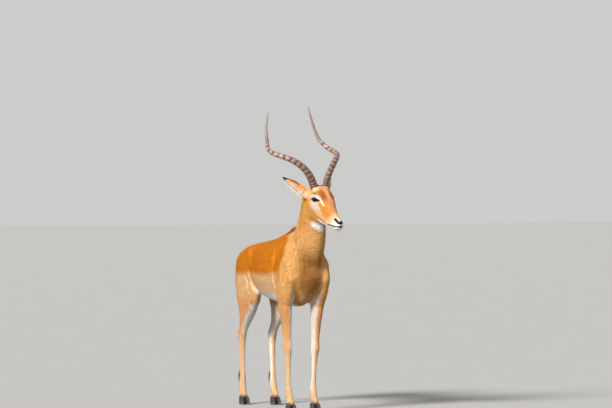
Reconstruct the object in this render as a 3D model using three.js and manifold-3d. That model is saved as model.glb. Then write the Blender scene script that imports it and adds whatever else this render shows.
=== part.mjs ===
// A standing male impala at life size, in millimetres, facing -Y with +Z up and its left side at +X.
// The body is lofted from rows of named measurements, joined into one solid, and parted by thin cuts.
import * as THREE from "three";
import { LoftGeometry } from "three/addons/geometries/LoftGeometry.js";
import { mergeVertices } from "three/addons/utils/BufferGeometryUtils.js";
import Module from "manifold-3d";

const wasm = await Module();
wasm.setup();

// Driving dimensions. "Forward" is the distance along -Y from the middle of the trunk.
// A limb has the forward place of its hoof's top, the height of the joint that it swings from,
// and how far each foot is set forward.
const GAP = 0.3; // room between neighbouring solids
const SLIVER = 1000; // cubic millimetres below which a crumb left by a cut is dropped
const HOOF_TOP = 40; // height of the coronet above the floor
const EYE_LEVEL = 1023; // height of the point midway between the eyes
const HEAD_FORWARD = 595; // forward place of that point
const HEAD_LEFT = 13; // its offset to the animal's left
const HEAD_YAW = 21; // degrees that the head is turned to the left
const HEAD_PITCH = 30; // degrees that the nose points down
const HEAD_ROLL = -1; // degrees that the right side of the head hangs lower
const EYE_RADIUS = 17;
const EYE_PLACE = { forward: -7, side: 43, up: 6 }; // in the head's own frame
const HORN_BASE = { forward: -31, side: 36, up: 76 }; // in the level frame that turns with the head
const HORN_RADIUS = 17.9;
const HORN_NARROWING = { most: 0.26, until: 0.5 }; // how much narrower a horn is across than along its keel
const HORN_TIP_RISE = { "-1": -4, 1: 14 }; // the left horn is a little longer
const HORN_RINGS = 15;
const HORN_SIDES = 8;
const EAR_LENGTH = 139;
const EAR_TIP = { "-1": { side: 153, forward: -134, up: 123 }, 1: { side: 156, forward: -131, up: 106 } };
const FORE_LIMB = { hoof: 309, pivot: 620, stance: { right: 28, left: -30 } };
const HIND_LIMB = { hoof: -384, pivot: 600, stance: { right: -42, left: 34 } };
const TRACK = 70; // half the distance between the left and the right feet
const CLAW_APART = 12.8; // how far each claw's middle lies from the middle of its foot
const HORN_TAPER = { power: 0.62, tip: 1.6 };
const RING_HEIGHT = 2.6;
const RINGED = { from: 0.04, to: 0.7 }; // shares of the horn's length that carry rings
const COLOURS = {
  coat: 0xc4783a,
  saddle: 0xa9561f,
  pale: 0xe6d3b8,
  horn: 0x4f4038,
  hoof: 0x1b1715,
  eye: 0x1a0f0a,
};

const rightAndLeft = [
  ["right", -1],
  ["left", 1],
];

// The forward direction is -Y, so a place is given by its left offset, its forward distance and its height.
const at = (left, forward, height) => new THREE.Vector3(left, -forward, height);

const headTurn = new THREE.Matrix4()
  .makeTranslation(at(HEAD_LEFT, HEAD_FORWARD, EYE_LEVEL))
  .multiply(new THREE.Matrix4().makeRotationZ(THREE.MathUtils.degToRad(HEAD_YAW)))
  .multiply(new THREE.Matrix4().makeRotationY(THREE.MathUtils.degToRad(HEAD_ROLL)));
const headFrame = headTurn
  .clone()
  .multiply(new THREE.Matrix4().makeRotationX(THREE.MathUtils.degToRad(HEAD_PITCH)));

// A smooth curve through rows: the first number of a row is its place, the others are the values there.
function through(rows) {
  const width = rows[0].length - 1;
  const places = rows.map((row) => row[0]);
  const values = rows.flatMap((row) => row.slice(1));
  const curve = new THREE.CubicInterpolant(places, values, width, new Float64Array(width));
  return (place) => [...curve.evaluate(place)];
}

// A point of a rounded outline of half-size 1. Fullness 2 is an ellipse, more is boxier, less is leaner.
function rounded(angle, fullnessAbove, fullnessBelow) {
  const across = Math.cos(angle);
  const up = Math.sin(angle);
  const power = 2 / (up > 0 ? fullnessAbove : fullnessBelow);
  return [Math.sign(across) * Math.abs(across) ** power, Math.sign(up) * Math.abs(up) ** power];
}

// Turns a closed three.js geometry into a solid.
function solidOf(geometry, frame) {
  const bare = new THREE.BufferGeometry();
  bare.setAttribute("position", geometry.getAttribute("position")).setIndex(geometry.index);
  if (frame) bare.applyMatrix4(frame);
  const merged = mergeVertices(bare, 1e-3);
  return new wasm.Manifold(
    new wasm.Mesh({
      numProp: 3,
      vertProperties: merged.attributes.position.array,
      triVerts: new Uint32Array(merged.index.array),
    }),
  );
}

// Joins closed sections into a capped solid. Its faces point out whichever way round the sections run.
function joined(sections, frame) {
  const middle = (section) => {
    const sum = section.reduce((total, point) => total.add(point), new THREE.Vector3());
    return sum.divideScalar(section.length);
  };
  const first = sections[0];
  const start = middle(first);
  const spoke = first[0].clone().sub(start);
  const nextSpoke = first[Math.round(first.length / 4)].clone().sub(start);
  const onward = middle(sections.at(-1)).sub(start);
  const turned = spoke.cross(nextSpoke).dot(onward) < 0;
  const wound = turned ? sections.map((section) => section.toReversed()) : sections;
  return solidOf(new LoftGeometry(wound, { capStart: true, capEnd: true }), frame);
}

// Lofts a solid through rows of measurements, with a number of steps from row to row.
// outline(values, angle, place) gives a point of the section.
function loft(rows, steps, sides, outline, frame) {
  const curve = through(rows);
  const sections = [];
  for (let step = 0; step <= (rows.length - 1) * steps; step++) {
    const row = Math.min(Math.floor(step / steps), rows.length - 2);
    const place = THREE.MathUtils.lerp(rows[row][0], rows[row + 1][0], step / steps - row);
    const values = curve(place);
    const section = [];
    for (let spot = 0; spot < sides; spot++) {
      section.push(outline(values, (2 * Math.PI * spot) / sides, place));
    }
    sections.push(section);
  }
  return joined(sections, frame);
}

// An ellipsoid at a place, with its radii to the left, forward and up.
function lump(place, radii, frame, turn = 0) {
  const shape = new THREE.SphereGeometry(1, 9, 6)
    .scale(radii.left, radii.forward, radii.up)
    .rotateX(THREE.MathUtils.degToRad(turn))
    .translate(...place);
  return solidOf(shape, frame);
}

// A thin plate that parts the body, square to the normal and tipped the shortest way from level.
function cut(place, normal, across, along, frame = new THREE.Matrix4()) {
  const level = new THREE.Vector3(0, 0, 1);
  const turn = new THREE.Quaternion().setFromUnitVectors(level, normal.normalize());
  const pose = new THREE.Matrix4().compose(place, turn, new THREE.Vector3(1, 1, 1));
  return solidOf(new THREE.BoxGeometry(across, along, GAP), frame.clone().multiply(pose));
}

// A section of trunk or head, square to the forward direction.
function bodySection([top, bottom, widest, half, above, below], angle, forward) {
  const [across, up] = rounded(angle, above, below);
  return at(across * half, forward, widest + up * (up > 0 ? top - widest : widest - bottom));
}

// Trunk: rows of forward place, top, bottom, widest height, half width and fullness above and below.
function trunk() {
  const rows = [
    [-466, 735, 645, 692, 44, 2, 2],
    [-448, 766, 615, 692, 88, 2.1, 2],
    [-405, 787, 588, 692, 118, 2.1, 2],
    [-330, 804, 566, 690, 131, 2.1, 2],
    [-240, 812, 556, 686, 127, 2, 2.1],
    [-130, 824, 536, 684, 125, 2, 2.2],
    [10, 839, 518, 682, 139, 1.9, 2.2],
    [108, 864, 511, 684, 138, 1.7, 2.1],
    [215, 888, 505, 688, 124, 1.55, 1.9],
    [265, 890, 508, 692, 117, 1.6, 1.8],
    [330, 868, 528, 692, 110, 1.8, 1.8],
    [385, 818, 572, 686, 96, 2, 1.9],
    [422, 752, 622, 680, 62, 2, 2],
    [434, 712, 652, 680, 26, 2, 2],
  ];
  return loft(rows, 2, 18, bodySection);
}

// Neck: each row gives a dorsal and a ventral point (forward, height), a left offset and a half width.
function neck() {
  const rows = [
    [0, 235, 846, 395, 600, 0, 88],
    [1, 262, 888, 425, 655, 7, 85],
    [2, 303, 918, 450, 722, 10, 76],
    [3, 358, 965, 473, 796, 8, 74],
    [4, 422, 1021, 489, 872, 2, 65],
    [5, 486, 1075, 500, 934, -12, 57],
    [6, 525, 1090, 512, 974, -17, 49],
    [7, 556, 1081, 545, 992, -4, 38],
  ];
  return loft(rows, 2, 16, ([backForward, backUp, throatForward, throatUp, left, half], angle) => {
    const [across, up] = rounded(angle, 1.9, 2.1);
    const share = 0.5 + up / 2;
    return at(
      left + across * half,
      THREE.MathUtils.lerp(throatForward, backForward, share),
      THREE.MathUtils.lerp(throatUp, backUp, share),
    );
  });
}

// Head, in its own frame, from nape to nose, with the same measurements in a row as the trunk.
function head() {
  const rows = [
    [-104, 0, -58, -30, 14, 2, 2],
    [-94, 24, -82, -28, 33, 2, 2],
    [-68, 52, -102, -20, 49, 2.5, 1.9],
    [-35, 57, -112, -10, 54, 2.7, 1.9],
    [-5, 50, -112, -2, 54, 2.7, 1.8],
    [25, 39, -107, -6, 47, 2.6, 1.8],
    [55, 24, -99, -16, 37, 2.3, 2],
    [90, 5, -89, -30, 29, 2.1, 2.2],
    [122, -11, -78, -42, 26, 2.1, 2.2],
    [146, -20, -71, -45, 27, 2.2, 2.2],
    [161, -27, -65, -45, 22, 2.2, 2.2],
    [170, -37, -56, -46, 11, 2, 2],
  ];
  const skull = loft(rows, 2, 18, bodySection, headFrame);
  return rightAndLeft.reduce((whole, [, side]) => {
    const brow = lump(at(side * 35, -9, 29), { left: 21, forward: 28, up: 11 }, headFrame, 12);
    const nostril = lump(at(side * 12, 154, -32), { left: 11, forward: 12, up: 9 }, headFrame, -20);
    return whole.add(brow).add(nostril);
  }, skull);
}

// Dark slit of a nostril, cut out of the head's side.
function nostrilSlit(side) {
  return lump(at(side * 23, 157, -34), { left: 6, forward: 8, up: 2.5 }, headFrame, -24);
}

// Ear: a leaf with a bowl hollowed out of it. Height along it, half width, depth behind and depth in front.
function ear(side) {
  const leafRows = [
    [-26, 23, 16, 14],
    [0, 25, 19, 15],
    [20, 27, 21, 11],
    [46, 27, 20, 7],
    [73, 24.5, 16, 5],
    [98, 18, 11, 4],
    [118, 11, 7, 3],
    [132, 5.5, 5, 2.5],
    [EAR_LENGTH, 2.5, 3, 2],
  ];
  const bowlRows = [
    [14, 7, 6, 40],
    [27, 18, 14, 40],
    [46, 23.5, 16, 40],
    [73, 21.5, 12.5, 40],
    [98, 15, 8, 40],
    [118, 8, 4.4, 40],
    [130, 3.6, 2.4, 40],
  ];
  const base = at(side * 59, -62, 35).applyMatrix4(headTurn);
  const reach = EAR_TIP[side];
  const tip = at(side * reach.side, reach.forward, reach.up).applyMatrix4(headTurn);
  const lengthwise = tip.clone().sub(base).normalize();
  const opening = at(side * 0.45, 0.86, -0.3).transformDirection(headTurn);
  const across = opening.clone().cross(lengthwise).normalize();
  const frame = new THREE.Matrix4()
    .makeBasis(across, lengthwise.clone().cross(across), lengthwise)
    .setPosition(base);
  const outline = ([half, behind, ahead], angle, height) => {
    const bend = 8 * Math.sin((Math.PI * height) / EAR_LENGTH);
    const out = Math.sin(angle);
    return new THREE.Vector3(Math.cos(angle) * half, out * (out > 0 ? ahead : behind) + bend, height);
  };
  const leaf = loft(leafRows, 1, 14, outline, frame);
  return leaf.subtract(loft(bowlRows, 1, 10, outline, frame));
}

// Horn: a lyre-shaped path in the level frame of the head, with rings on its lower two thirds.
function hornPath(side) {
  const path = [
    [-8, 8, -34],
    [0, 0, 0],
    [22, -1, 48],
    [54, -12, 88],
    [100, -38, 124],
    [146, -90, 148],
    [151, -151, 168],
    [124, -195, 211],
    [110, -220, 279],
    [85, -231, 365 + HORN_TIP_RISE[side]],
  ];
  const points = path.map(([out, forward, up]) =>
    at(side * (HORN_BASE.side + out), HORN_BASE.forward + forward, HORN_BASE.up + up),
  );
  return new THREE.CatmullRomCurve3(points.map((point) => point.applyMatrix4(headTurn)));
}

function horn(side, room) {
  const path = hornPath(side);
  const ringSpan = RINGED.to - RINGED.from;
  const stations = 2 * Math.round(HORN_RINGS / ringSpan);
  const frames = path.computeFrenetFrames(stations, false);
  const thin = at(side, 1, 0).transformDirection(headTurn);
  const sections = frames.normals.map((normal, step) => {
    const share = step / stations;
    const turns = (HORN_RINGS * (share - RINGED.from)) / ringSpan;
    const isRinged = turns > 0 && turns < HORN_RINGS;
    const fade = 1 - turns / HORN_RINGS / 2;
    const ring = isRinged ? RING_HEIGHT * fade * Math.sin(Math.PI * turns) ** 2 : 0;
    const taper = (1 - share) ** HORN_TAPER.power * (1 - share / 4);
    const radius = HORN_RADIUS * taper + HORN_TAPER.tip + ring + room;
    const narrowing = HORN_NARROWING.most * Math.max(0, 1 - share / HORN_NARROWING.until);
    const section = [];
    for (let spot = 0; spot < HORN_SIDES; spot++) {
      const angle = (2 * Math.PI * spot) / HORN_SIDES;
      const offset = normal.clone().multiplyScalar(radius * Math.cos(angle));
      offset.addScaledVector(frames.binormals[step], radius * Math.sin(angle));
      offset.addScaledVector(thin, -narrowing * offset.dot(thin));
      section.push(path.getPointAt(share).add(offset));
    }
    return section;
  });
  for (const point of sections[0]) point.addScaledVector(path.getTangent(0), -room);
  return joined(sections);
}

function eye(side, room) {
  const { forward, side: out, up } = EYE_PLACE;
  const radius = EYE_RADIUS + room;
  const ball = new THREE.SphereGeometry(radius, 12, 8).translate(...at(side * out, forward, up));
  return solidOf(ball, headFrame);
}

// How far a limb's stance moves its axis forward at a height: fully at the foot, not at all at the pivot.
function swing(limb, name, height) {
  return limb.stance[name] * Math.max(0, 1 - height / limb.pivot) ** 1.3;
}

// A leg is lofted upwards on level sections: height, forward place, left offset, half depth and half width.
function leg(rows, limb, name, side) {
  return loft(rows, 1, 12, ([forward, out, halfDepth, halfWidth], angle, height) => {
    const [across, along] = rounded(angle, 2.1, 2.1);
    const ahead = forward + swing(limb, name, height) + along * halfDepth;
    return at(side * (out + across * halfWidth), ahead, height);
  });
}

function foreleg(name, side) {
  const rows = [
    [HOOF_TOP + GAP, FORE_LIMB.hoof, TRACK, 21, 20],
    [68, 297, TRACK, 16, 17],
    [98, 283, TRACK, 20, 18.5],
    [128, 281, TRACK, 15, 14],
    [190, 284, 71, 13.5, 12.5],
    [262, 288, 72, 16.5, 16],
    [304, 291, 73, 24, 22],
    [350, 288, 74, 22, 20],
    [430, 286, 77, 31, 25],
    [510, 284, 82, 49, 33],
    [572, 296, 84, 84, 41],
    [640, 318, 82, 98, 45],
    [720, 318, 76, 90, 45],
    [800, 298, 56, 64, 34],
    [850, 285, 34, 30, 10],
  ];
  return leg(rows, FORE_LIMB, name, side);
}

// The hind leg has a tuft of hair behind, above the fetlock.
function hindleg(name, side) {
  const rows = [
    [HOOF_TOP + GAP, HIND_LIMB.hoof, TRACK, 21, 20],
    [68, -396, TRACK, 17, 17],
    [98, -409, TRACK, 21, 19],
    [128, -411, TRACK, 18, 15.5],
    [190, -414, 71, 16, 13.5],
    [262, -419, 72, 17, 14.5],
    [312, -421, 73, 22, 18],
    [342, -420, 74, 32, 21],
    [362, -413, 75, 40, 21],
    [388, -387, 76, 44, 22],
    [424, -346, 79, 60, 28],
    [464, -316, 81, 88, 36],
    [512, -304, 82, 120, 44],
    [570, -312, 80, 142, 52],
    [650, -326, 76, 140, 56],
    [738, -333, 62, 112, 52],
  ];
  const tuftHeight = 142;
  const behind = -430 + swing(HIND_LIMB, name, tuftHeight);
  const tuft = lump(at(side * TRACK, behind, tuftHeight), { left: 12, forward: 12, up: 26 });
  return leg(rows, HIND_LIMB, name, side).add(tuft);
}

// Each foot has two claws, with flat soles at the floor: level sections that lean back and narrow upwards.
function claw(side, outer, topForward) {
  const rows = [
    [0, 13, 37, 11.2],
    [4, 13, 37.5, 11.8],
    [20, 7, 31, 11.6],
    [HOOF_TOP, 0, 22, 10.6],
  ];
  const leftOffset = side * (TRACK + outer * CLAW_APART);
  const splay = outer * side * 0.07;
  return loft(rows, 1, 10, ([forward, halfLength, halfWidth], angle, height) => {
    const along = Math.sin(angle);
    const taper = along > 0 ? 1 - 0.55 * along ** 2.4 : 1;
    const [across] = rounded(angle, 2, 2.6);
    const ahead = forward + along * halfLength;
    return at(leftOffset + across * halfWidth * taper + splay * ahead, topForward + ahead, height);
  });
}

// Tail, with its hair: height, forward place, half width and half depth.
function tail(room) {
  const rows = [
    [495, -487, 5, 4],
    [516, -488, 17, 10],
    [560, -491, 25, 13],
    [615, -491, 24, 13],
    [670, -487, 20, 12],
    [720, -476, 17, 12],
    [752, -458, 17, 17],
    [766 + room, -436 + room, 12, 12],
  ];
  return loft(rows, 1, 10, ([forward, halfWidth, halfDepth], angle, height) => {
    const across = Math.cos(angle) * (halfWidth + room);
    return at(across, forward + Math.sin(angle) * (halfDepth + room), height);
  });
}

// The thin plates that part head, neck, trunk, legs and ears.
function cuts() {
  const plates = [
    cut(at(5, -88, -4), at(0, 1, 0.14), 136, 220, headTurn),
    cut(at(0, 388, 846), at(0, 0.558, 0.83), 240, 300),
  ];
  for (const [, side] of rightAndLeft) {
    plates.push(cut(at(side * 88, 300, 536), at(side * -0.5, 0, 0.86), 150, 260));
    plates.push(cut(at(side * 84, -318, 584), at(side * -0.52, 0.24, 0.82), 150, 370));
    plates.push(cut(at(side * 73, -73, 46), at(side * 94, -72, 81), 84, 84, headTurn));
  }
  return plates;
}

function meshOf(name, solid, colour, roughness) {
  const { vertProperties, triVerts } = solid.getMesh();
  const geometry = new THREE.BufferGeometry()
    .setAttribute("position", new THREE.BufferAttribute(vertProperties, 3))
    .setIndex(new THREE.BufferAttribute(triVerts, 1));
  geometry.computeVertexNormals();
  const material = new THREE.MeshStandardMaterial({ color: colour, roughness, metalness: 0 });
  const mesh = new THREE.Mesh(geometry, material);
  mesh.name = name;
  return mesh;
}

// The whole of the flesh, joined, with room for eyes, horns and tail, then parted.
function flesh() {
  let whole = trunk().add(neck()).add(head());
  for (const [name, side] of rightAndLeft) {
    whole = whole
      .add(foreleg(name, side))
      .add(hindleg(name, side))
      .add(ear(side));
  }
  for (const [, side] of rightAndLeft) {
    whole = whole.subtract(eye(side, GAP)).subtract(horn(side, GAP)).subtract(nostrilSlit(side));
  }
  whole = whole.subtract(tail(2 * GAP));
  for (const plate of cuts()) whole = whole.subtract(plate);
  return whole.decompose().filter((piece) => piece.volume() > SLIVER);
}

// Each part is the piece whose middle lies nearest to where that part's middle is.
function nameParts(pieces) {
  const middles = {
    trunk: at(0, 0, 700),
    neck: at(0, 430, 930),
    head: at(15, HEAD_FORWARD, 1010),
  };
  for (const [name, side] of rightAndLeft) {
    middles["foreleg_" + name] = at(side * 75, 290, 300);
    middles["hindleg_" + name] = at(side * 75, -370, 350);
    middles["ear_" + name] = at(side * 110, -100, 75).applyMatrix4(headTurn);
  }
  const middleOf = (piece) => {
    const { min, max } = piece.boundingBox();
    return new THREE.Vector3(...min).add(new THREE.Vector3(...max)).multiplyScalar(0.5);
  };
  return Object.entries(middles).map(([name, middle]) => {
    const distance = (piece) => middleOf(piece).distanceTo(middle);
    return [name, pieces.reduce((best, piece) => (distance(piece) < distance(best) ? piece : best))];
  });
}

const impala = new THREE.Group();
const skinColours = { trunk: COLOURS.saddle };
const pieces = flesh();
for (const [name, piece] of nameParts(pieces)) {
  impala.add(meshOf(name, piece, skinColours[name] ?? COLOURS.coat, 0.85));
}
impala.add(meshOf("tail", tail(0), COLOURS.pale, 0.9));
for (const [name, side] of rightAndLeft) {
  impala.add(meshOf("eye_" + name, eye(side, 0), COLOURS.eye, 0.08));
  impala.add(meshOf("horn_" + name, horn(side, 0), COLOURS.horn, 0.6));
  for (const [end, limb] of Object.entries({ fore: FORE_LIMB, hind: HIND_LIMB })) {
    const topForward = limb.hoof + swing(limb, name, HOOF_TOP);
    for (const [place, outer] of [["inner", -1], ["outer", 1]]) {
      const hoofName = ["hoof", end, name, place].join("_");
      impala.add(meshOf(hoofName, claw(side, outer, topForward), COLOURS.hoof, 0.45));
    }
  }
}

// The origin is the middle of the bounding box's floor.
const box = new THREE.Box3().setFromObject(impala);
const middle = box.getCenter(new THREE.Vector3());
impala.position.set(-middle.x, -middle.y, -box.min.z);

export default impala;
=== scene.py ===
import math
import time

import bmesh
import bpy
import numpy as np
from mathutils import Matrix, Vector


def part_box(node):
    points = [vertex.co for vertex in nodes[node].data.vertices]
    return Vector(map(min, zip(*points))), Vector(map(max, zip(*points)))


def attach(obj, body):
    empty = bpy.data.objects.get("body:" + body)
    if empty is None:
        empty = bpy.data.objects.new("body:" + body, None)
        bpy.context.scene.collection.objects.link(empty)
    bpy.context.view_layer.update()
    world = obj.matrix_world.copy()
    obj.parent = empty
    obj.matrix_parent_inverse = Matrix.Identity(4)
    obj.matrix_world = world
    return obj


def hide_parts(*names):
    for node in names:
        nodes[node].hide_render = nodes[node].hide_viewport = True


started = time.time()
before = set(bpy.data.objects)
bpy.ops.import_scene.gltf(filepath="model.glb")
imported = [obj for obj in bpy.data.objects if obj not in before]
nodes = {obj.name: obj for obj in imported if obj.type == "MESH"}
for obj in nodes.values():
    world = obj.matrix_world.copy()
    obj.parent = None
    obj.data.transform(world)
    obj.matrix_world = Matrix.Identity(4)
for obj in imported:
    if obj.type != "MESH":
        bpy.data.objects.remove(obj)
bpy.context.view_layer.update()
scene = bpy.context.scene


def report(stage):
    print(f"{time.time() - started:6.1f} s  {stage}")


report(f"frame loaded, {len(nodes)} nodes")

# Places. Body places are (side, forward, height) from the animal's midline. Face places are
# (side, forward, up) from a point between the eyes, tilted with the nose. Level places share that
# point and turn with the head but stay upright. All three are in millimetres, side is to the left.
headPose = {"pitch": 30, "eyeForward": -7, "eyeUp": 6}
trunkLow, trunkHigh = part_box("trunk")
bodyOrigin = Vector(((trunkLow.x + trunkHigh.x) / 2, trunkHigh.y - 0.466, 0))


def middleOf(node):
    low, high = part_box(node)
    return (low + high) / 2


eyeMiddles = {1: middleOf("eye_left"), -1: middleOf("eye_right")}
eyeLine = eyeMiddles[1] - eyeMiddles[-1]
levelTurn = (
    Matrix.Rotation(math.atan2(eyeLine.y, eyeLine.x), 3, "Z")
    @ Matrix.Rotation(-math.asin(eyeLine.z / eyeLine.length), 3, "Y")
)
faceTurn = levelTurn @ Matrix.Rotation(math.radians(headPose["pitch"]), 3, "X")
headOrigin = (eyeMiddles[1] + eyeMiddles[-1]) / 2 - faceTurn @ Vector(
    (0, -headPose["eyeForward"] / 1000, headPose["eyeUp"] / 1000)
)
flip = np.array((1, -1, 1))
bothSides = ((1, "left"), (-1, "right"))


def into(points, origin, turn):
    return (points - np.array(origin)) @ np.array(turn) * flip * 1000


def outOf(places, origin, turn):
    return np.array(origin) + (np.asarray(places, float) * flip / 1000) @ np.array(turn).T


upright = Matrix.Identity(3)


def toFace(points):
    return into(points, headOrigin, faceTurn)


def toLevel(points):
    return into(points, headOrigin, levelTurn)


def toBody(points):
    return into(points, bodyOrigin, upright)


def fromLevel(places):
    return outOf(places, headOrigin, levelTurn)


def fromBody(places):
    return outOf(places, bodyOrigin, upright)


def faceDirection(vectors):
    return (np.asarray(vectors, float) * flip) @ np.array(faceTurn).T


def levelDirection(vectors):
    return (np.asarray(vectors, float) * flip) @ np.array(levelTurn).T


# Soft masks over arrays of places.
def fade(low, high, values):
    share = np.clip((values - low) / (high - low), 0, 1)
    return share * share * (3 - 2 * share)


def folded(places):
    return np.abs(places) * (1, 0, 0) + places * (0, 1, 1)


def spot(places, middle, radii, soft=0.3):
    away = np.sqrt((((places - np.array(middle)) / np.array(radii)) ** 2).sum(1))
    return 1 - fade(1 - soft, 1 + soft, away)


def swell(places, middle, radii):
    return np.exp(-(((places - np.array(middle)) / np.array(radii)) ** 2).sum(1))


def addSwellings(amounts, places, forms, way=1):
    # forms hold a middle, its radii and how far it rises there, or falls where way is -1
    for x, y, z, across, along, tall, amount in forms:
        amounts += way * amount * swell(places, (x, y, z), (across, along, tall))


def milestones(points):
    # how far along a line of points each of them lies
    return np.concatenate(((0,), np.cumsum(np.linalg.norm(np.diff(points, axis=0), axis=1))))


def resampled(points, ends, count):
    stops = np.linspace(0, ends[-1], count)
    return np.stack([np.interp(stops, ends, points[:, axis]) for axis in range(3)], axis=1)


def alongPath(places, path, weights=(1, 1, 1)):
    # distance to a path of straight lengths, and how far along it the nearest point lies, 0 to 1
    scale = np.array(weights, float)
    corners = np.array(path, float) * scale
    spots = places * scale
    lengths = np.linalg.norm(np.diff(corners, axis=0), axis=1)
    starts = np.concatenate(((0,), np.cumsum(lengths)))
    best = np.full(len(places), 1e9)
    share = np.zeros(len(places))
    for index, length in enumerate(lengths):
        step = corners[index + 1] - corners[index]
        along = np.clip(((spots - corners[index]) @ step) / length**2, 0, 1)
        away = np.linalg.norm(spots - corners[index] - along[:, None] * step, axis=1)
        nearer = away < best
        best = np.where(nearer, away, best)
        share = np.where(nearer, (starts[index] + along * length) / starts[-1], share)
    return best, share


def band(places, path, startWidth, endWidth, soft=0.4, weights=(1, 1, 1)):
    away, share = alongPath(places, path, weights)
    width = startWidth + (endWidth - startWidth) * share
    return 1 - fade(1 - soft, 1 + soft, away / width)


def cutGrooves(amounts, body, grooves, facesSideways):
    # grooves hold a line of forward and height places, a width and a depth
    for line, width, depth in grooves:
        away, _ = alongPath(body, [(0, *point) for point in line], (0, 1, 1))
        amounts -= depth * np.exp(-((away / width) ** 2)) * facesSideways


# Limbs: how far each foot stands forward of rest, as in the solids.
limbStance = {"fore": {-1: 28, 1: -30, "pivot": 620}, "hind": {-1: -42, 1: 34, "pivot": 600}}


def unstepped(body):
    # body places with the stance taken out, so that both legs of a pair share one forward scale
    side, forward, height = body.T
    shift = np.zeros(len(body))
    for end, inFront in (("fore", forward > 0), ("hind", forward <= 0)):
        stance = limbStance[end]
        amount = np.where(side > 0, stance[1], stance[-1])
        reach = np.clip(1 - height / stance["pivot"], 0, 1) ** 1.3
        shift += np.where(inFront, amount * reach, 0)
    return np.stack((side, forward - shift, height), axis=1)


# Mesh tools.
def linked(name, mesh):
    piece = bpy.data.objects.new(name, mesh)
    scene.collection.objects.link(piece)
    return piece


def mergedCopy(node):
    shape = bmesh.new()
    shape.from_mesh(nodes[node].data)
    bmesh.ops.remove_doubles(shape, verts=shape.verts, dist=1e-6)
    return shape


def meshFrom(shape, name):
    mesh = bpy.data.meshes.new(name)
    shape.to_mesh(mesh)
    shape.free()
    return mesh


def smoothMesh(shape, name):
    bmesh.ops.recalc_face_normals(shape, faces=shape.faces)
    for face in shape.faces:
        face.smooth = True
    return meshFrom(shape, name)


def addTo(whole, part):
    carrier = meshFrom(part, "carrier")
    whole.from_mesh(carrier)
    bpy.data.meshes.remove(carrier)


def finished(piece, kind, **settings):
    # the mesh that a modifier makes of a scratch object, which is then removed
    modifier = piece.modifiers.new(kind, kind)
    for key, value in settings.items():
        setattr(modifier, key, value)
    depsgraph = bpy.context.evaluated_depsgraph_get()
    mesh = bpy.data.meshes.new_from_object(piece.evaluated_get(depsgraph))
    spent = piece.data
    bpy.data.objects.remove(piece)
    bpy.data.meshes.remove(spent)
    return mesh


def voxelled(shape, size):
    piece = linked("voxels", meshFrom(shape, "voxels"))
    return finished(piece, "REMESH", mode="VOXEL", voxel_size=size)


def placesOf(mesh):
    flat = np.empty(len(mesh.vertices) * 3)
    mesh.vertices.foreach_get("co", flat)
    return flat.reshape(-1, 3)


def normalsOf(mesh):
    flat = np.empty(len(mesh.vertices) * 3, np.float32)
    mesh.vertex_normals.foreach_get("vector", flat)
    return flat.reshape(-1, 3).astype(float)


def setPlaces(mesh, places):
    mesh.vertices.foreach_set("co", places.ravel())
    mesh.update()


def edgesOf(mesh):
    flat = np.empty(len(mesh.edges) * 2, np.int32)
    mesh.edges.foreach_get("vertices", flat)
    return flat.reshape(-1, 2)


def valenceOf(first, second, count):
    return np.bincount(first, minlength=count) + np.bincount(second, minlength=count)


def summedAround(first, second, values):
    # for each point, the sum of the values at the points that its edges reach
    count = len(values)
    return np.bincount(first, values[second], count) + np.bincount(second, values[first], count)


def relax(mesh, weight, rounds, keepsSize=True):
    places = placesOf(mesh)
    first, second = edgesOf(mesh).T
    valence = valenceOf(first, second, len(places))
    steps = (0.5, -0.52) if keepsSize else (0.5,)
    for _ in range(rounds):
        for step in steps:
            for axis in range(3):
                column = places[:, axis].copy()
                around = summedAround(first, second, column)
                places[:, axis] += weight * step * (around / valence - column)
    setPlaces(mesh, places)


def averaged(mesh, values, rounds):
    first, second = edgesOf(mesh).T
    valence = valenceOf(first, second, len(values))
    for _ in range(rounds):
        values = 0.5 * values + 0.5 * summedAround(first, second, values) / valence
    return values


def pushed(mesh, amounts):
    # moves points along their normals by amounts in millimetres
    setPlaces(mesh, placesOf(mesh) + normalsOf(mesh) * (amounts / 1000)[:, None])


# Eyes and horns: the skin is closed under the horns and shaped round the eyes.
eyeForm = {
    "radius": 17,
    "axis": (0.95, 0.30, 0.10),     # side, forward, up: where the eye looks, in level places
    "length": (0.30, -0.94, 0.13),  # from front corner to rear corner
    "halfLength": 16,
    "upperLid": 8.4,
    "lowerLid": 7.2,
    "lidThickness": 1.9,
}
hornForm = {
    "base": (36, -31, 76),  # level place where the horn leaves the head
    "path": [
        (-8, 8, -34), (0, 0, 0), (22, -1, 48), (54, -12, 88), (100, -38, 124),
        (146, -90, 148), (151, -151, 168), (124, -195, 211), (110, -220, 279), (85, -231, 365),
    ],
    "tipRise": {-1: -4, 1: 14},
    "radius": 17.9,
    "narrowing": (0.26, 0.5),   # how much narrower across than along its keel, and up to which share
    "baseRadius": 20.1,
    "taper": 0.62,
    "tip": 1.6,
    "rings": 15,
    "ringCrowding": 0.75,   # below 1 sets the rings closer together near the head
    "ringedFrom": 0.03,
    "ringedTo": 0.71,
    "ringHeight": 3.6,
    "rootShare": 0.055,     # the lowest stretch, which narrows inside the head
    "sides": 36,
    "stations": 270,
    "smoothing": 150,       # rounds that take the corners out of its line
}


def unit(vector):
    return np.array(vector, float) / np.linalg.norm(vector)


def sidePlace(place, side):
    return (place[0] * side, *place[1:])


def plug(whole, middle, radius):
    # a ball that fills a socket in the solids
    bmesh.ops.create_icosphere(
        whole, subdivisions=4, radius=radius / 1000, matrix=Matrix.Translation(Vector(middle))
    )


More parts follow.
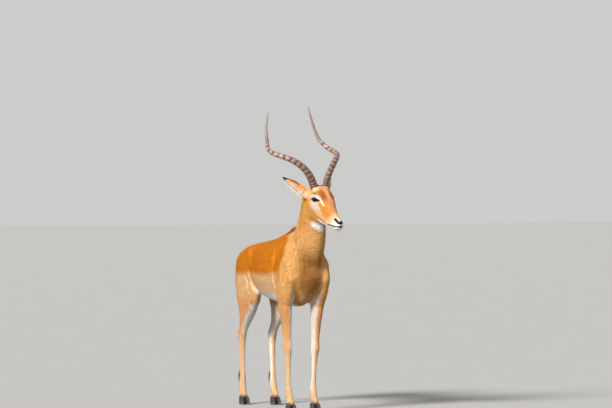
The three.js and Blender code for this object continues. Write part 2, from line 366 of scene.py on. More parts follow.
def plugSockets(whole):
    for side in (1, -1):
        plug(whole, eyeMiddles[side], eyeForm["radius"] + 0.4)
        base = np.array(hornForm["base"])
        for share in (0.3, 0.6, 0.9):
            place = base + np.array(hornForm["path"][0]) * share
            plug(whole, fromLevel(sidePlace(place, side)), hornForm["baseRadius"] * (0.68 + 0.36 * share))


# The large forms of the body: the solids joined, relaxed, and given muscles and hollows.
bodyForms = {
    "voxel": 0.006,
    # side, forward, height, their radii, and how far it swells (mm); side is folded to both sides
    "swellings": [
        (92, 408, 652, 26, 26, 34, 5),      # point of the shoulder
        (86, 214, 566, 22, 20, 26, 6),      # elbow
        (118, 250, 690, 26, 40, 60, 3),     # triceps
        (70, 262, 850, 20, 46, 22, 4),      # top of the shoulder blade
        (0, 230, 892, 18, 60, 18, 2),       # withers
        (0, 322, 904, 18, 34, 24, 3),       # crest in front of the withers
        (96, -238, 768, 24, 20, 22, 7),     # hip bone
        (52, -436, 742, 20, 16, 20, 5),     # pin bone
        (112, -330, 640, 40, 60, 60, 4),    # thigh
        (90, -226, 520, 26, 24, 24, 5),     # stifle
        (0, -100, 540, 16, 60, 16, 9),      # sheath
    ],
    "hollows": [
        (120, 196, 740, 40, 20, 70, 6),     # behind the shoulder
        (110, -178, 748, 34, 34, 24, 6),    # flank below the loin
        (120, -176, 620, 40, 34, 60, 7),    # in front of the thigh
        (0, 440, 700, 26, 26, 30, 7),       # between the breast muscles
        (70, 330, 800, 30, 30, 50, 4),      # where the neck meets the shoulder
        (60, -300, 806, 22, 90, 16, 2),     # beside the croup
    ],
    # forward and height along the line, width, depth
    "creases": [
        ([(236, 822), (210, 740), (206, 640), (214, 590)], 15, 4),
        ([(-410, 730), (-404, 640), (-392, 540), (-396, 450)], 12, 4),
        ([(-206, 640), (-196, 580), (-212, 520)], 14, -5),
        ([(330, 870), (392, 800), (420, 720)], 16, 3),
    ],
    "ribs": {"count": 8, "first": 150, "spacing": 34, "depth": 0.25},
}


def bodyMesh():
    whole = bmesh.new()
    for name in ("trunk", "neck", "head"):
        addTo(whole, mergedCopy(name))
    for side in ("right", "left"):
        addTo(whole, mergedCopy("foreleg_" + side))
        addTo(whole, mergedCopy("hindleg_" + side))
    plugSockets(whole)
    mesh = voxelled(whole, bodyForms["voxel"])
    places = placesOf(mesh)
    body = toBody(places)
    face = toFace(places)
    isHead = fade(-95, -60, face[:, 1]) * fade(-150, -120, face[:, 2])
    weight = np.where(body[:, 2] < 860, fade(430, 560, body[:, 2]), 1)
    relax(mesh, 0.12 + 0.88 * weight * (1 - isHead), 20, keepsSize=False)
    relax(mesh, np.maximum(0.2 + 0.8 * fade(430, 560, body[:, 2]), isHead), 40)
    lost = ((places - placesOf(mesh)) * normalsOf(mesh)).sum(1) * 1000
    pushed(mesh, averaged(mesh, lost, 30))
    body = folded(unstepped(toBody(placesOf(mesh))))
    facesSideways = fade(0.15, 0.6, np.abs(normalsOf(mesh)[:, 0]))
    amounts = np.zeros(len(body))
    addSwellings(amounts, body, bodyForms["swellings"])
    addSwellings(amounts, body, bodyForms["hollows"], -1)
    cutGrooves(amounts, body, bodyForms["creases"], facesSideways)
    ribs = bodyForms["ribs"]
    slanted = body[:, 1] + (body[:, 2] - 690) * 0.35
    wave = np.cos(2 * np.pi * (slanted - ribs["first"]) / ribs["spacing"])
    reach = fade(ribs["first"], ribs["first"] - 40, slanted)
    reach *= fade(ribs["first"] - ribs["count"] * ribs["spacing"], -40, slanted)
    caged = reach * fade(590, 640, body[:, 2]) * fade(780, 730, body[:, 2])
    amounts += ribs["depth"] * wave * caged * facesSideways
    pushed(mesh, amounts)
    relax(mesh, 0.8 * weight * (1 - isHead), 6)
    return mesh


bodyShape = bodyMesh()
report(f"body shaped, {len(bodyShape.vertices)} points")


# The skin: one closed surface over head, ears, neck, trunk, legs and the bone of the tail.
skinForm = {
    "voxel": 0.002,
    "triangles": 192000,
    "thinSteps": 8,         # levels of thinning between the finest places and the rest
    "spared": 0.85,         # how far the finest places are spared
    "tailShare": 0.42,      # how thick the tail is under its hair
    "hoofReach": 5,         # how far the skin runs down inside the claws (mm)
}
faceForms = {
    "swellings": [
        (48, -8, -70, 20, 40, 26, 3),       # jaw muscle
        (50, -18, 28, 10, 24, 8, 2.5),      # brow
        (0, -10, 54, 24, 34, 14, 2),        # forehead
        (25, 140, -38, 9, 20, 11, 2),       # upper lip
        (10, 160, -60, 14, 12, 9, 1.5),     # chin
        (14, 150, -20, 8, 12, 8, 1.5),      # above the nostril
        (42, 8, -18, 12, 14, 8, 1.5),       # below the eye
    ],
    "hollows": [
        (40, 44, -52, 14, 22, 22, 3),       # in front of the jaw muscle
        (42, 30, 6, 9, 12, 9, 2.5),         # in front of the eye
        (52, -52, 8, 12, 12, 14, 3),        # temple
        (0, 30, -104, 13, 60, 18, 6),       # between the jaw bones
        (22, 100, -14, 8, 20, 10, 1.5),     # beside the bridge of the nose
        (0, 118, -8, 10, 12, 8, 1),         # above the nose
    ],
    # path, width, how far it rises
    "ridges": [
        ([(50, 2, -26), (40, 45, -36), (32, 82, -42)], 8, 1.8),
        ([(42, -40, -98), (27, 45, -90), (20, 95, -78)], 7, 1.8),
    ],
}
mouthForm = {
    "line": [(20, 98, -69), (27, 116, -64), (27, 140, -55), (20, 158, -46), (10, 168, -40), (0, 171, -39)],
    "width": 1.7,
    "depth": 2.6,
    "nostril": [(18, 131, -20), (15, 142, -23), (11, 152, -26), (8, 158, -30)],
    "pit": [(14, 128, -25), (11, 139, -28), (9, 150, -30)],
    "nostrilWidth": 2.6,
    "nostrilDepth": 5.5,
    "groove": [(0, 162, -28), (0, 171, -38)],
    "grooveWidth": 1.4,
}
legLines = {
    # path as forward and height, width, depth of the groove beside the tendons
    "grooves": [
        ([(283, 276), (277, 200), (276, 130)], 3.4, 1.5),
        ([(-424, 300), (-418, 210), (-415, 150)], 3.4, 1.6),
        ([(-372, 480), (-398, 420), (-404, 384)], 10, 4),
    ],
    "swellings": [
        (74, 306, 306, 18, 9, 16, 2),       # front of the knee
        (74, 272, 318, 12, 8, 12, 2.5),     # back of the knee
        (74, -440, 362, 12, 12, 12, 1.5),   # point of the hock
        (70, 272, 96, 12, 8, 10, 2),        # back of the fore fetlock
        (70, -424, 98, 12, 8, 10, 2),       # back of the hind fetlock
    ],
}


def tailLine(tail):
    # where the middle of the tail runs: heights, and how far back each is
    levels = sorted({round(vert.co.z, 4) for vert in tail.verts})
    middles = []
    for level in levels:
        ring = [vert.co.y for vert in tail.verts if abs(vert.co.z - level) < 2e-4]
        middles.append(sum(ring) / len(ring))
    return levels, middles


def tailBone():
    tail = mergedCopy("tail")
    low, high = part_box("tail")
    levels, middles = tailLine(tail)
    for vert in tail.verts:
        centre = np.interp(vert.co.z, levels, middles)
        rise = (vert.co.z - low.z) / (high.z - low.z)
        share = skinForm["tailShare"] * (0.5 + 0.5 * rise)
        vert.co.x = bodyOrigin.x + (vert.co.x - bodyOrigin.x) * share
        vert.co.y = centre + (vert.co.y - centre) * share
        vert.co.z = high.z + (vert.co.z - high.z) * 0.88
    return tail


def eyeFrame(side):
    axis = unit(sidePlace(eyeForm["axis"], side))
    length = np.array(sidePlace(eyeForm["length"], side))
    length = unit(length - axis * (length @ axis))
    up = np.cross(axis, length) * side
    return axis, length, up if up[2] > 0 else -up


def levelEye(side):
    return toLevel(np.array(eyeMiddles[side])[None])[0]


def lidEdge(along, up):
    # how far outside the opening of the lids a direction lies, in millimetres on the ball
    reach = eyeForm["halfLength"]
    share = np.clip(1 - (along / reach) ** 2, 0, 1) ** 0.75
    half = np.where(up > 0, eyeForm["upperLid"], eyeForm["lowerLid"]) * share
    beyond = np.maximum(np.abs(along) - reach, 0)
    return np.where(beyond > 0, np.hypot(beyond, up), np.abs(up) - half)


def shapeLids(mesh):
    places = placesOf(mesh)
    level = toLevel(places)
    radius = eyeForm["radius"]
    for side in (1, -1):
        middle = levelEye(side)
        near = np.flatnonzero(np.abs(level - middle).max(1) < 42)
        offset = level[near] - middle
        away = np.linalg.norm(offset, axis=1)
        ray = offset / away[:, None]
        axis, length, up = eyeFrame(side)
        facing = ray @ axis
        rise = ray @ up * radius
        edge = lidEdge(ray @ length * radius, rise)
        gap = (1 - fade(-0.7, 0.7, edge)) * (facing > 0)
        pull = np.exp(-((np.maximum(edge, 0) / np.where(rise > 0, 8, 6)) ** 2)) * fade(0.05, 0.4, facing)
        fold = np.exp(-(((edge - 6) / 1.4) ** 2)) * (rise > 0) - 0.5 * np.exp(-(((edge - 2.5) / 2) ** 2))
        target = radius + eyeForm["lidThickness"] - 0.6 * (1 - fade(-3, 3, rise))
        reach = away + (target - away) * pull - 0.9 * fold * fade(0.1, 0.5, facing)
        reach = reach * (1 - gap) + (radius - 3.5) * gap
        level[near] = middle + ray * reach[:, None]
        places[near] = fromLevel(level[near])
    setPlaces(mesh, places)


def draped(places, path, spacing=4):
    # the path filled in with points and laid onto the nearest points of the surface
    path = np.array(path, float)
    ends = milestones(path)
    filled = resampled(path, ends, max(2, round(ends[-1] / spacing)))
    return np.array([places[((places - stop) ** 2).sum(1).argmin()] for stop in filled])


def smoothLine(line, rounds):
    for _ in range(rounds):
        line[1:-1] += 0.5 * ((line[:-2] + line[2:]) / 2 - line[1:-1])


def carve(mesh, places, path, width, depth, endShare=1):
    # a groove along the path, whose depth changes to endShare of itself at the far end
    away, share = alongPath(places, draped(places, path))
    depths = depth * (1 + (endShare - 1) * share)
    pushed(mesh, -depths * np.exp(-((away / width) ** 4)))


def shapeFace(mesh):
    face = folded(toFace(placesOf(mesh)))
    amounts = np.zeros(len(face))
    addSwellings(amounts, face, faceForms["swellings"])
    addSwellings(amounts, face, faceForms["hollows"], -1)
    for path, width, amount in faceForms["ridges"]:
        away, _ = alongPath(face, path)
        amounts += amount * np.exp(-((away / width) ** 2))
    pushed(mesh, amounts)
    shapeLids(mesh)
    face = folded(toFace(placesOf(mesh)))
    relax(mesh, 0.7 * roundEye(face, 27), 2)
    carve(mesh, face, mouthForm["line"], mouthForm["width"], mouthForm["depth"], 0.5)
    carve(mesh, face, mouthForm["nostril"], mouthForm["nostrilWidth"], mouthForm["nostrilDepth"], 0.3)
    carve(mesh, face, mouthForm["groove"], mouthForm["grooveWidth"], 0.6)


def shapeLegs(mesh):
    body = folded(unstepped(toBody(placesOf(mesh))))
    facesSideways = fade(0.3, 0.8, np.abs(normalsOf(mesh)[:, 0]))
    amounts = np.zeros(len(body))
    cutGrooves(amounts, body, legLines["grooves"], facesSideways)
    addSwellings(amounts, body, legLines["swellings"])
    pushed(mesh, amounts)


earForm = {
    "base": (59, -62, 35),
    "tip": {-1: (153, -134, 123), 1: (156, -131, 106)},
    "opening": (0.45, 0.86, -0.3),  # where the hollow of the ear looks
    "shares": [0, 0.2, 0.45, 0.7, 1],   # of its length, from the base
    "halfWidths": [15, 23, 24, 16, 4],  # at these shares (mm)
    "rimRounds": 9,
    "drawnIn": 0.3,         # share by which the lower half is narrower than its solid
}


def earEnds(side):
    return np.array(sidePlace(earForm["base"], side)), np.array(sidePlace(earForm["tip"][side], side))


def earFrame(side):
    # its ends, the way it points and the way its hollow looks
    base, tip = earEnds(side)
    line = unit(tip - base)
    opening = np.array(sidePlace(earForm["opening"], side))
    return base, tip, line, unit(opening - line * (opening @ line))


def earCoordinates(places, side):
    # along the ear from base to tip (0 to 1), across it, and outwards from its hollow
    base, tip, line, opening = earFrame(side)
    across = np.cross(opening, line) * side
    offset = toLevel(places) - base
    return offset @ line / np.linalg.norm(tip - base), offset @ across, offset @ opening


def earHalfWidth(along):
    return np.interp(along, earForm["shares"], earForm["halfWidths"])


def earRoot(side):
    # the part of the head's solid that carries the ear
    root = mergedCopy("head")
    base, tip = (fromLevel(end) for end in earEnds(side))
    cut = bmesh.ops.bisect_plane(
        root,
        geom=root.verts[:] + root.edges[:] + root.faces[:],
        plane_co=Vector(base),
        plane_no=Vector(tip - base),
        clear_inner=True,
    )
    edges = [item for item in cut["geom_cut"] if isinstance(item, bmesh.types.BMEdge)]
    bmesh.ops.triangle_fill(root, edges=edges, use_beauty=True)
    return root


def earMask(places):
    mask = np.zeros(len(places))
    for side in (1, -1):
        along, across, out = earCoordinates(places, side)
        near = (np.abs(across) < 40) & (np.abs(out) < 40)
        mask = np.maximum(mask, fade(0.02, 0.16, along) * near * (along < 1.1))
    return mask


def finer(mesh, chosen):
    # halves the edges round the chosen points
    shape = bmesh.new()
    shape.from_mesh(mesh)
    shape.verts.ensure_lookup_table()
    picked = set()
    for index in chosen:
        picked.update(shape.verts[index].link_edges)
    bmesh.ops.subdivide_edges(shape, edges=list(picked), cuts=1, use_grid_fill=True)
    bmesh.ops.triangulate(shape, faces=[face for face in shape.faces if len(face.verts) > 4])
    shape.to_mesh(mesh)
    shape.free()


headFrom = 860  # nothing below this height has the coat or the colours of the head (mm)
# how far the shaped skin is drawn in, which leaves room for the tufts (mm)
coatDepth = {"body": 2.8, "leg": 1.3, "face": 1.1, "ear": 0.2}


def depthOfCoat(points):
    face = toFace(points)
    body = toBody(points)
    isHead = fade(-120, -60, face[:, 1]) * fade(-160, -125, face[:, 2]) * (body[:, 2] > 840)
    depth = coatDepth["leg"] + (coatDepth["body"] - coatDepth["leg"]) * fade(380, 560, body[:, 2])
    depth += (coatDepth["face"] - depth) * isHead
    depth *= 1 - roundEye(folded(face), 26)
    return depth + (coatDepth["ear"] - depth) * earMask(points)


eyeInFace = toFace(np.array(eyeMiddles[1])[None])[0]


def roundEye(face, radius, steepness=4):
    # 1 at the eye, falling to 0 past the radius, over folded face places
    return np.exp(-((np.linalg.norm(face - eyeInFace, axis=1) / radius) ** steepness))


def narrowEars(mesh):
    # draws the lower edge of each ear towards its middle line
    places = placesOf(mesh)
    for side in (1, -1):
        along, across, _ = earCoordinates(places, side)
        base, tip = earEnds(side)
        opening = np.array(sidePlace(earForm["opening"], side))
        lower = levelDirection(unit(np.cross(opening, unit(tip - base)) * side))
        here = earMask(places) * (np.sign(toFace(places)[:, 0]) == side) * fade(0.05, 0.35, along)
        places -= (earForm["drawnIn"] * here * np.maximum(across, 0) / 1000)[:, None] * lower
    setPlaces(mesh, places)


def skinMesh():
    whole = bmesh.new()
    whole.from_mesh(bodyShape)
    for side, name in bothSides:
        addTo(whole, mergedCopy("ear_" + name))
        addTo(whole, earRoot(side))
    addTo(whole, tailBone())
    plugSockets(whole)
    mesh = voxelled(whole, skinForm["voxel"])
    ears = earMask(placesOf(mesh))
    relax(mesh, 1 - 0.3 * ears, 16)
    relax(mesh, ears, earForm["rimRounds"], keepsSize=False)
    relax(mesh, ears, 20)
    narrowEars(mesh)
    face = folded(toFace(placesOf(mesh)))
    eyes = np.linalg.norm(face - eyeInFace, axis=1) < 32
    finer(mesh, np.flatnonzero(eyes | ((face[:, 1] > 96) & (face[:, 2] > -110))))
    shapeFace(mesh)
    shapeLegs(mesh)
    pushed(mesh, -depthOfCoat(placesOf(mesh)))
    places = placesOf(mesh)
    places[:, 2] -= (1 - fade(0.041, 0.047, places[:, 2])) * skinForm["hoofReach"] / 1000
    setPlaces(mesh, places)
    report(f"skin shaped, {len(places)} points")
    face = folded(toFace(places))
    fine = roundEye(face, 30, 6)
    fine = np.maximum(fine, fade(105, 120, face[:, 1]) * (face[:, 2] > -110))
    fine = np.maximum(fine, 0.7 * earMask(places))
    piece = linked("thinned", mesh)
    group = piece.vertex_groups.new(name="thin")
    steps = skinForm["thinSteps"]
    levels = np.round((1 - skinForm["spared"] * fine) * steps).astype(int)
    for level in range(steps + 1):
        group.add(np.flatnonzero(levels == level).tolist(), level / steps, "REPLACE")
    triangles = sum(len(face.vertices) - 2 for face in mesh.polygons)
    share = skinForm["triangles"] / triangles
    return finished(piece, "DECIMATE", ratio=share, vertex_group="thin", use_collapse_triangulate=True)


skinShape = skinMesh()
report(f"skin thinned, {len(skinShape.vertices)} points, {len(skinShape.polygons)} faces")


def unwrapped(piece):
    # an unwrap of the skin's own shape, which the coat's tufts share
    for other in bpy.context.selected_objects:
        other.select_set(False)
    piece.select_set(True)
    bpy.context.view_layer.objects.active = piece
    bpy.ops.object.mode_set(mode="EDIT")
    bpy.ops.mesh.select_all(action="SELECT")
    bpy.ops.uv.smart_project(angle_limit=math.radians(66), island_margin=0.0005)
    bpy.ops.object.mode_set(mode="OBJECT")
    piece.data.uv_layers.active.name = "OFBake"


skin = linked("skin", skinShape)
skinShape.polygons.foreach_set("use_smooth", np.ones(len(skinShape.polygons), bool))
unwrapped(skin)


# Markings, with some painted light and shade: one function gives the colour of the coat at any place, for
# the skin and the tufts alike.
def hue(code):
    values = np.array([int(code[start:start + 2], 16) / 255 for start in (1, 3, 5)])
    return np.where(values <= 0.04045, values / 12.92, ((values + 0.055) / 1.055) ** 2.4)


def linear(codes):
    return {name: hue(code) for name, code in codes.items()}


coatHues = linear({
    "flank": "#e9bf8f",
    "neck": "#e9b46e",
    "saddle": "#da8510",
    # dark brown: painted shade on the withers, and the real dark hair above the hooves
    "withers": "#8c4526",
    "white": "#efe8dc",
    # the throat patch's white, brighter than the coat's other white as painted light where the sun falls on
    # it
    "throat": "#fdfdfd",
    "leg": "#dba46c",
    "shin": "#dfb78c",
    "black": "#1c1511",
    # painted shade: the lower chest darkened as if in the shade of the head and neck
    "chestShade": "#a0672e",
    "behindJaw": "#c98537",
    "earBack": "#c78546",
    # painted shade along the ear's upper rim, where the back of the ear lies in shade
    "earRimShade": "#6a452e",
    # the ear's hollow: peach as painted light through its upper half, its own cream darkened as painted
    # shade below
    "earLitPeach": "#df9954",
    "earShadedCream": "#c6ab92",
    "tailTop": "#c98348",
})
saddleEdge = [  # forward and height of the saddle's lower edge, from the withers to the rump
    (300, 905), (246, 862), (290, 815), (322, 770), (326, 730), (306, 696), (250, 672), (120, 664),
    (-200, 660), (-300, 652), (-380, 664), (-430, 716),
]
rumpLine = [(30, 440), (57, 590), (60, 660), (54, 720), (40, 762)]  # side and height, upwards
shankTuft = (70, -428, 142)     # middle of the dark tuft at the back of the hind shank
faceHues = linear({
    "cheek": "#cc9247",
    "orange": "#d08637",
    "bridge": "#d18c62",
    # painted highlight down the middle of the forehead
    "salmonHighlight": "#dba577",
    "chestnut": "#ab6029",
    "peach": "#d79e72",
    "pale": "#efc79c",
    # dark hair round each horn's base, deepened as painted shade where horn meets head
    "poll": "#7d4423",
    "hornRootShade": "#3d2414",
    "white": "#f2eadd",
    "cream": "#cdbdac",
    "brow": "#cfbfae",
    # painted shade: white greyed below the jaw, as if in its shade
    "band": "#e0ac7c",
    "brown": "#7d5230",
    "jawShadeGrey": "#cfc5b6",
    "black": "#120c09",
})
# colour, middle, radii, softness
faceSpots = [
    ("bridge", (0, 60, 24), (18, 80, 40), 0.5),
    ("salmonHighlight", (0, 4, 46), (15, 44, 24), 0.6),
    # painted highlight: the lighter middle of the brow, between the chestnut patches
    ("chestnut", (27, 9, 38), (16, 30, 25), 0.6),
    ("peach", (0, -40, 56), (34, 14, 14), 0.5),
    ("pale", (36, -40, 42), (17, 13, 17), 0.5),
    ("pale", (62, -62, 14), (14, 14, 30), 0.6),
    ("poll", (0, -50, 56), (9, 8, 9), 0.5),
    ("brown", (68, -86, 2), (7, 7, 7), 0.5),
]
# colour, path, width at its start, width at its end, softness
faceBands = [
    ("orange", [(44, 30, -2), (36, 63, -15), (28, 100, -24)], 12, 12, 0.5),
    ("cream", [(51, -5, -17), (48, 12, -26), (45, 23, -34), (38, 45, -47)], 25, 15, 0.4),
    ("band", [(42, 32, -38), (37, 50, -49), (31, 76, -56), (26, 102, -62)], 13, 6, 0.45),
    ("brow", [(55, -42, 3), (53, -30, 10), (52, -10, 22), (48, 8, 23)], 9, 8, 0.45),
    ("white", [(49, 4, 21), (46, 13, 20), (40.5, 32, 11), (36, 48, 5)], 7, 2.8, 0.4),
    ("brown", [(50, -30, 27), (50, -20, 31)], 3, 2.4, 0.6),
    # painted shade below the jaw's edge
    ("jawShadeGrey", [(30, 42, -80), (22, 82, -84), (16, 120, -74)], 7, 7, 0.5),
    ("brown", [(33, 30, -68), (24, 84, -72)], 2, 1.6, 0.6),
]
flatFace = (0.45, 1, 1)  # marks are wider across the face than along its side
muzzleForm = {
    "edge": 125,            # how far forward the white of the muzzle begins
    "leather": [(19, 129, -19), (12, 151, -25), (0, 160, -27)],
    "pad": (0, 161, -29),
}
eyeRim = [(54, -32, -3), (53, -14, 1), (48, 12, 13), (46, 19, 16)]


def painted(colours, mask, colour):
    return colours + (colour - colours) * np.clip(mask, 0, 1)[:, None]


def insideOutline(points, outline, soft):
    # 1 inside a closed outline of flat points, 0 outside, fading over soft millimetres on each side
    inside = np.zeros(len(points), bool)
    corners = np.array(outline, float)
    for start, end in zip(corners, np.roll(corners, -1, axis=0)):
        crosses = (start[1] > points[:, 1]) != (end[1] > points[:, 1])
        if start[1] != end[1]:
            reach = start[0] + (points[:, 1] - start[1]) * (end[0] - start[0]) / (end[1] - start[1])
            inside ^= crosses & (points[:, 0] < reach)
    flat = np.column_stack((points, np.zeros(len(points))))
    closed = [(*corner, 0) for corner in np.vstack((corners, corners[:1]))]
    away, _ = alongPath(flat, closed)
    return fade(-soft, soft, np.where(inside, away, -away))


bodyMarks = {
    # borders: 0 for side, 1 for forward, 2 for height, where the mark begins and where it is full (mm)
    # where the painted shade of the lower chest lies
    "chestShade": [(1, 330, 420), (2, 830, 720), (0, 80, 30)],
    "underside": [(2, 584, 566), (1, 198, 184), (1, -176, -160), (2, 500, 520)],
    "rump": [(1, -395, -420), (2, 440, 520), (2, 775, 745)],
    # where one mark begins and where it is full (mm)
    "neck": (180, 300),
    "leg": (585, 520),
    "shin": (420, 220),
    "innerFore": (640, 560),
    "innerHind": (560, 430),
    "innerLow": (60, 160),
    "bellyTop": (640, 600),
    "coronet": (56, 44),
    # paths, and the middle and radii of the dark patch on the withers, painted shade on the hair there
    "behindJaw": [(44, 540, 1010), (40, 500, 960), (44, 440, 900)],
    "throat": [(4, 493, 918), (40, 486, 894)],
    "withers": ((0, 190, 886), (64, 74, 33)),
    "bellyMiddle": -60,
    "bellyHalf": 330,       # half its length
}


def bounded(body, borders):
    # 1 inside all of the borders
    share = 1.0
    for axis, begins, full in borders:
        share = share * fade(begins, full, body[:, axis])
    return share


def bodyColours(points, normals):
    body = folded(unstepped(toBody(points)))
    side, forward, height = body.T
    inward = -normals[:, 0] * np.sign(points[:, 0] - bodyOrigin.x)
    down = -normals[:, 2]
    colours = np.tile(coatHues["flank"], (len(points), 1))
    neck = fade(*bodyMarks["neck"], forward + (height - 700) * 0.4)
    colours = painted(colours, neck, coatHues["neck"])
    # painted shade on the lower chest between the forelegs, under the head and neck
    colours = painted(colours, 0.85 * bounded(body, bodyMarks["chestShade"]), coatHues["chestShade"])
    behind = band(body, bodyMarks["behindJaw"], 30, 20, 0.6)
    colours = painted(colours, 0.5 * behind * (normals[:, 1] > -0.9), coatHues["behindJaw"])
    outline = saddleEdge + [(-700, 700), (-700, 1100), (300, 1100)]
    colours = painted(colours, insideOutline(body[:, 1:], outline, 18), coatHues["saddle"])
    # painted shade: the hair on the withers darkened where it lies in shade
    colours = painted(colours, spot(body, *bodyMarks["withers"], 0.35), coatHues["withers"])
    # legs, inner sides and belly
    outer = painted(coatHues["leg"], fade(*bodyMarks["shin"], height), coatHues["shin"])
    colours = painted(colours, fade(*bodyMarks["leg"], height), outer)
    fore, hind = fade(*bodyMarks["innerFore"], height), fade(*bodyMarks["innerHind"], height)
    start = np.where(forward > 0, fore, hind)
    hidden = fade(0.15, 0.6, inward) * start
    colours = painted(colours, 0.85 * hidden * fade(*bodyMarks["innerLow"], height), coatHues["white"])
    isBelly = np.abs(forward - bodyMarks["bellyMiddle"]) < bodyMarks["bellyHalf"]
    belly = fade(0.35, 0.75, down) * isBelly * fade(*bodyMarks["bellyTop"], height)
    belly = np.maximum(belly, bounded(body, bodyMarks["underside"]))
    colours = painted(colours, belly, coatHues["white"])
    # rump: white between two black lines
    rear = bounded(body, bodyMarks["rump"])
    line = [(across, 0, rise) for across, rise in rumpLine[:0:-1]]
    away, _ = alongPath(body * (1, 0, 1), line)
    sides, heights = zip(*rumpLine)
    inner = fade(4, -4, side - np.interp(height, heights, sides))
    colours = painted(colours, rear * inner, coatHues["white"])
    colours = painted(colours, rear * (1 - fade(4, 8, away)), coatHues["black"])
    # throat: the head is turned, so the patch lies to the left of the middle; its white is brighter than
    # the coat's other white, as painted light
    throat = band(toBody(points), bodyMarks["throat"], 22, 17, 0.2, (1, 0.5, 1))
    colours = painted(colours, throat, coatHues["throat"])
    # dark hair at the back of the hind shank and above the hooves
    shank = spot(body, shankTuft, (26, 16, 34), 0.4)
    colours = painted(colours, shank, coatHues["black"])
    return painted(colours, 0.6 * fade(*bodyMarks["coronet"], height), coatHues["withers"])


def aroundHorn(points):
    # distance from the horn's axis, and how far along it past the place where it leaves the head
    offset = folded(toLevel(points)) - np.array(hornForm["base"])
    axis = unit(-np.array(hornForm["path"][0]))
    along = offset @ axis
    thin = unit((1, 1, 0))
    offset = offset - along[:, None] * axis
    offset = offset + thin * (offset @ thin)[:, None] * hornForm["narrowing"][0] * 1.3
    return np.linalg.norm(offset, axis=1), along


def faceColours(points):
    face = folded(toFace(points))
    colours = np.tile(faceHues["cheek"], (len(points), 1))
    for name, middle, radii, soft in faceSpots:
        colours = painted(colours, spot(face, middle, radii, soft), faceHues[name])
    for name, path, start, end, soft in faceBands:
        colours = painted(colours, band(face, path, start, end, soft, flatFace), faceHues[name])
    side, forward, up = face.T
    beyond = forward - muzzleForm["edge"] - (up + 30) * 0.3
    colours = painted(colours, 0.75 * fade(-40, -10, beyond), faceHues["pale"])
    muzzle = np.maximum(fade(-9, 15, beyond), fade(90, 106, forward) * fade(-50, -60, up))
    colours = painted(colours, muzzle, faceHues["white"])
    under = fade(-66, -78, up + forward * 0.12) * fade(26, 14, side) * fade(-24, 4, forward)
    colours = painted(colours, under, faceHues["white"])
    away, along = aroundHorn(points)
    # painted shade: darker skin and hair round the base of the horn
    return painted(colours, 0.9 * fade(29, 23, away) * fade(-16, -8, along), faceHues["hornRootShade"])


mouthLine = draped(folded(toFace(placesOf(skinShape))), mouthForm["line"], 3)
smoothLine(mouthLine, 14)


def bareMask(points):
    # dark leather: nose, nostrils, lips' edge and the rims of the lids
    face = folded(toFace(points))
    bare = band(face, muzzleForm["leather"], 6, 8, 0.3)
    bare = np.maximum(bare, band(face, mouthForm["nostril"], 5, 5, 0.3, (0.5, 1, 1)))
    bare = np.maximum(bare, band(face, mouthForm["pit"], 6, 5, 0.3))
    bare = np.maximum(bare, spot(face, muzzleForm["pad"], (9, 9, 7), 0.3))
    bare = np.maximum(bare, band(face, mouthLine, 4.2, 5.0, 0.4))
    away, share = alongPath(face, eyeRim, flatFace)
    width = np.interp(share, [0, 0.15, 0.5, 0.8, 1], [3.2, 7.5, 10, 6, 3])
    return np.maximum(bare, 1 - fade(0.85, 1.15, away / width))


def earColours(points, normals):
    mask = np.zeros(len(points))
    colours = np.zeros((len(points), 3))
    for side in (1, -1):
        along, across, out = earCoordinates(points, side)
        near = fade(-0.02, 0.1, along) * (along < 1.15)
        near = near * fade(34, 28, np.abs(across)) * fade(30, 22, np.abs(out))
        hollow = fade(-0.25, 0.25, normals @ levelDirection(earFrame(side)[3]))
        # painted light and shade in the hollow: lit peach in the upper half, shaded cream in the lower
        inner = painted(coatHues["earShadedCream"], fade(5, -8, across), coatHues["earLitPeach"])
        this = painted(np.tile(coatHues["earBack"], (len(points), 1)), hollow, inner)
        width = earHalfWidth(along)
        # painted shade along the upper rim: full on the right ear, faint on the left
        rim = fade(-0.48, -0.68, across / width) * fade(0.26, 0.46, along) * (1 if side < 0 else 0.15)
        this = painted(this, rim, coatHues["earRimShade"])
        tip = fade(0.74, 0.82, along - 0.05 * across / width - (0 if side < 0 else 0.06))
        this = painted(this, tip, coatHues["black"])
        stronger = (near > mask)[:, None]
        colours = np.where(stronger, this, colours)
        mask = np.maximum(mask, near)
    return colours, mask


def coatColours(points, normals):
    # linear colour, and how hairy the place is (1) or bare (0)
    face = toFace(points)
    height = toBody(points)[:, 2]
    colours = bodyColours(points, normals)
    slanted = face[:, 1] + (face[:, 2] + 60) * 0.15
    isHead = fade(-98, -78, slanted) * fade(-150, -128, face[:, 2]) * (height > headFrom)
    colours = painted(colours, isHead, faceColours(points))
    ears, isEar = earColours(points, normals)
    colours = painted(colours, isEar, ears)
    bare = bareMask(points) * isHead
    return painted(colours, bare, faceHues["black"]), 1 - bare


def setColours(mesh, colours, hairy):
    layer = mesh.color_attributes.new("coatColour", "FLOAT_COLOR", "POINT")
    layer.data.foreach_set("color", np.column_stack((colours, hairy)).astype(np.float32).ravel())


setColours(skinShape, *coatColours(placesOf(skinShape), normalsOf(skinShape)))
report("skin unwrapped and coloured")


# Materials. Effects that several of them use are node groups.
def newMaterial(name, **constants):
    material = bpy.data.materials.new(name)
    material.use_nodes = True
    shader = material.node_tree.nodes["Principled BSDF"]
    for socket, value in constants.items():
        shader.inputs[socket.replace("_", " ")].default_value = value
    return material, material.node_tree, shader


def feed(tree, node, inputs):
    for socket, value in inputs.items():
        if isinstance(value, bpy.types.NodeSocket):
            tree.links.new(value, node.inputs[socket])
        else:
            node.inputs[socket].default_value = value


def addNode(tree, kind, inputs=(), **settings):
    node = tree.nodes.new("ShaderNode" + kind)
    for key, value in settings.items():
        setattr(node, key, value)
    feed(tree, node, dict(inputs))
    return node


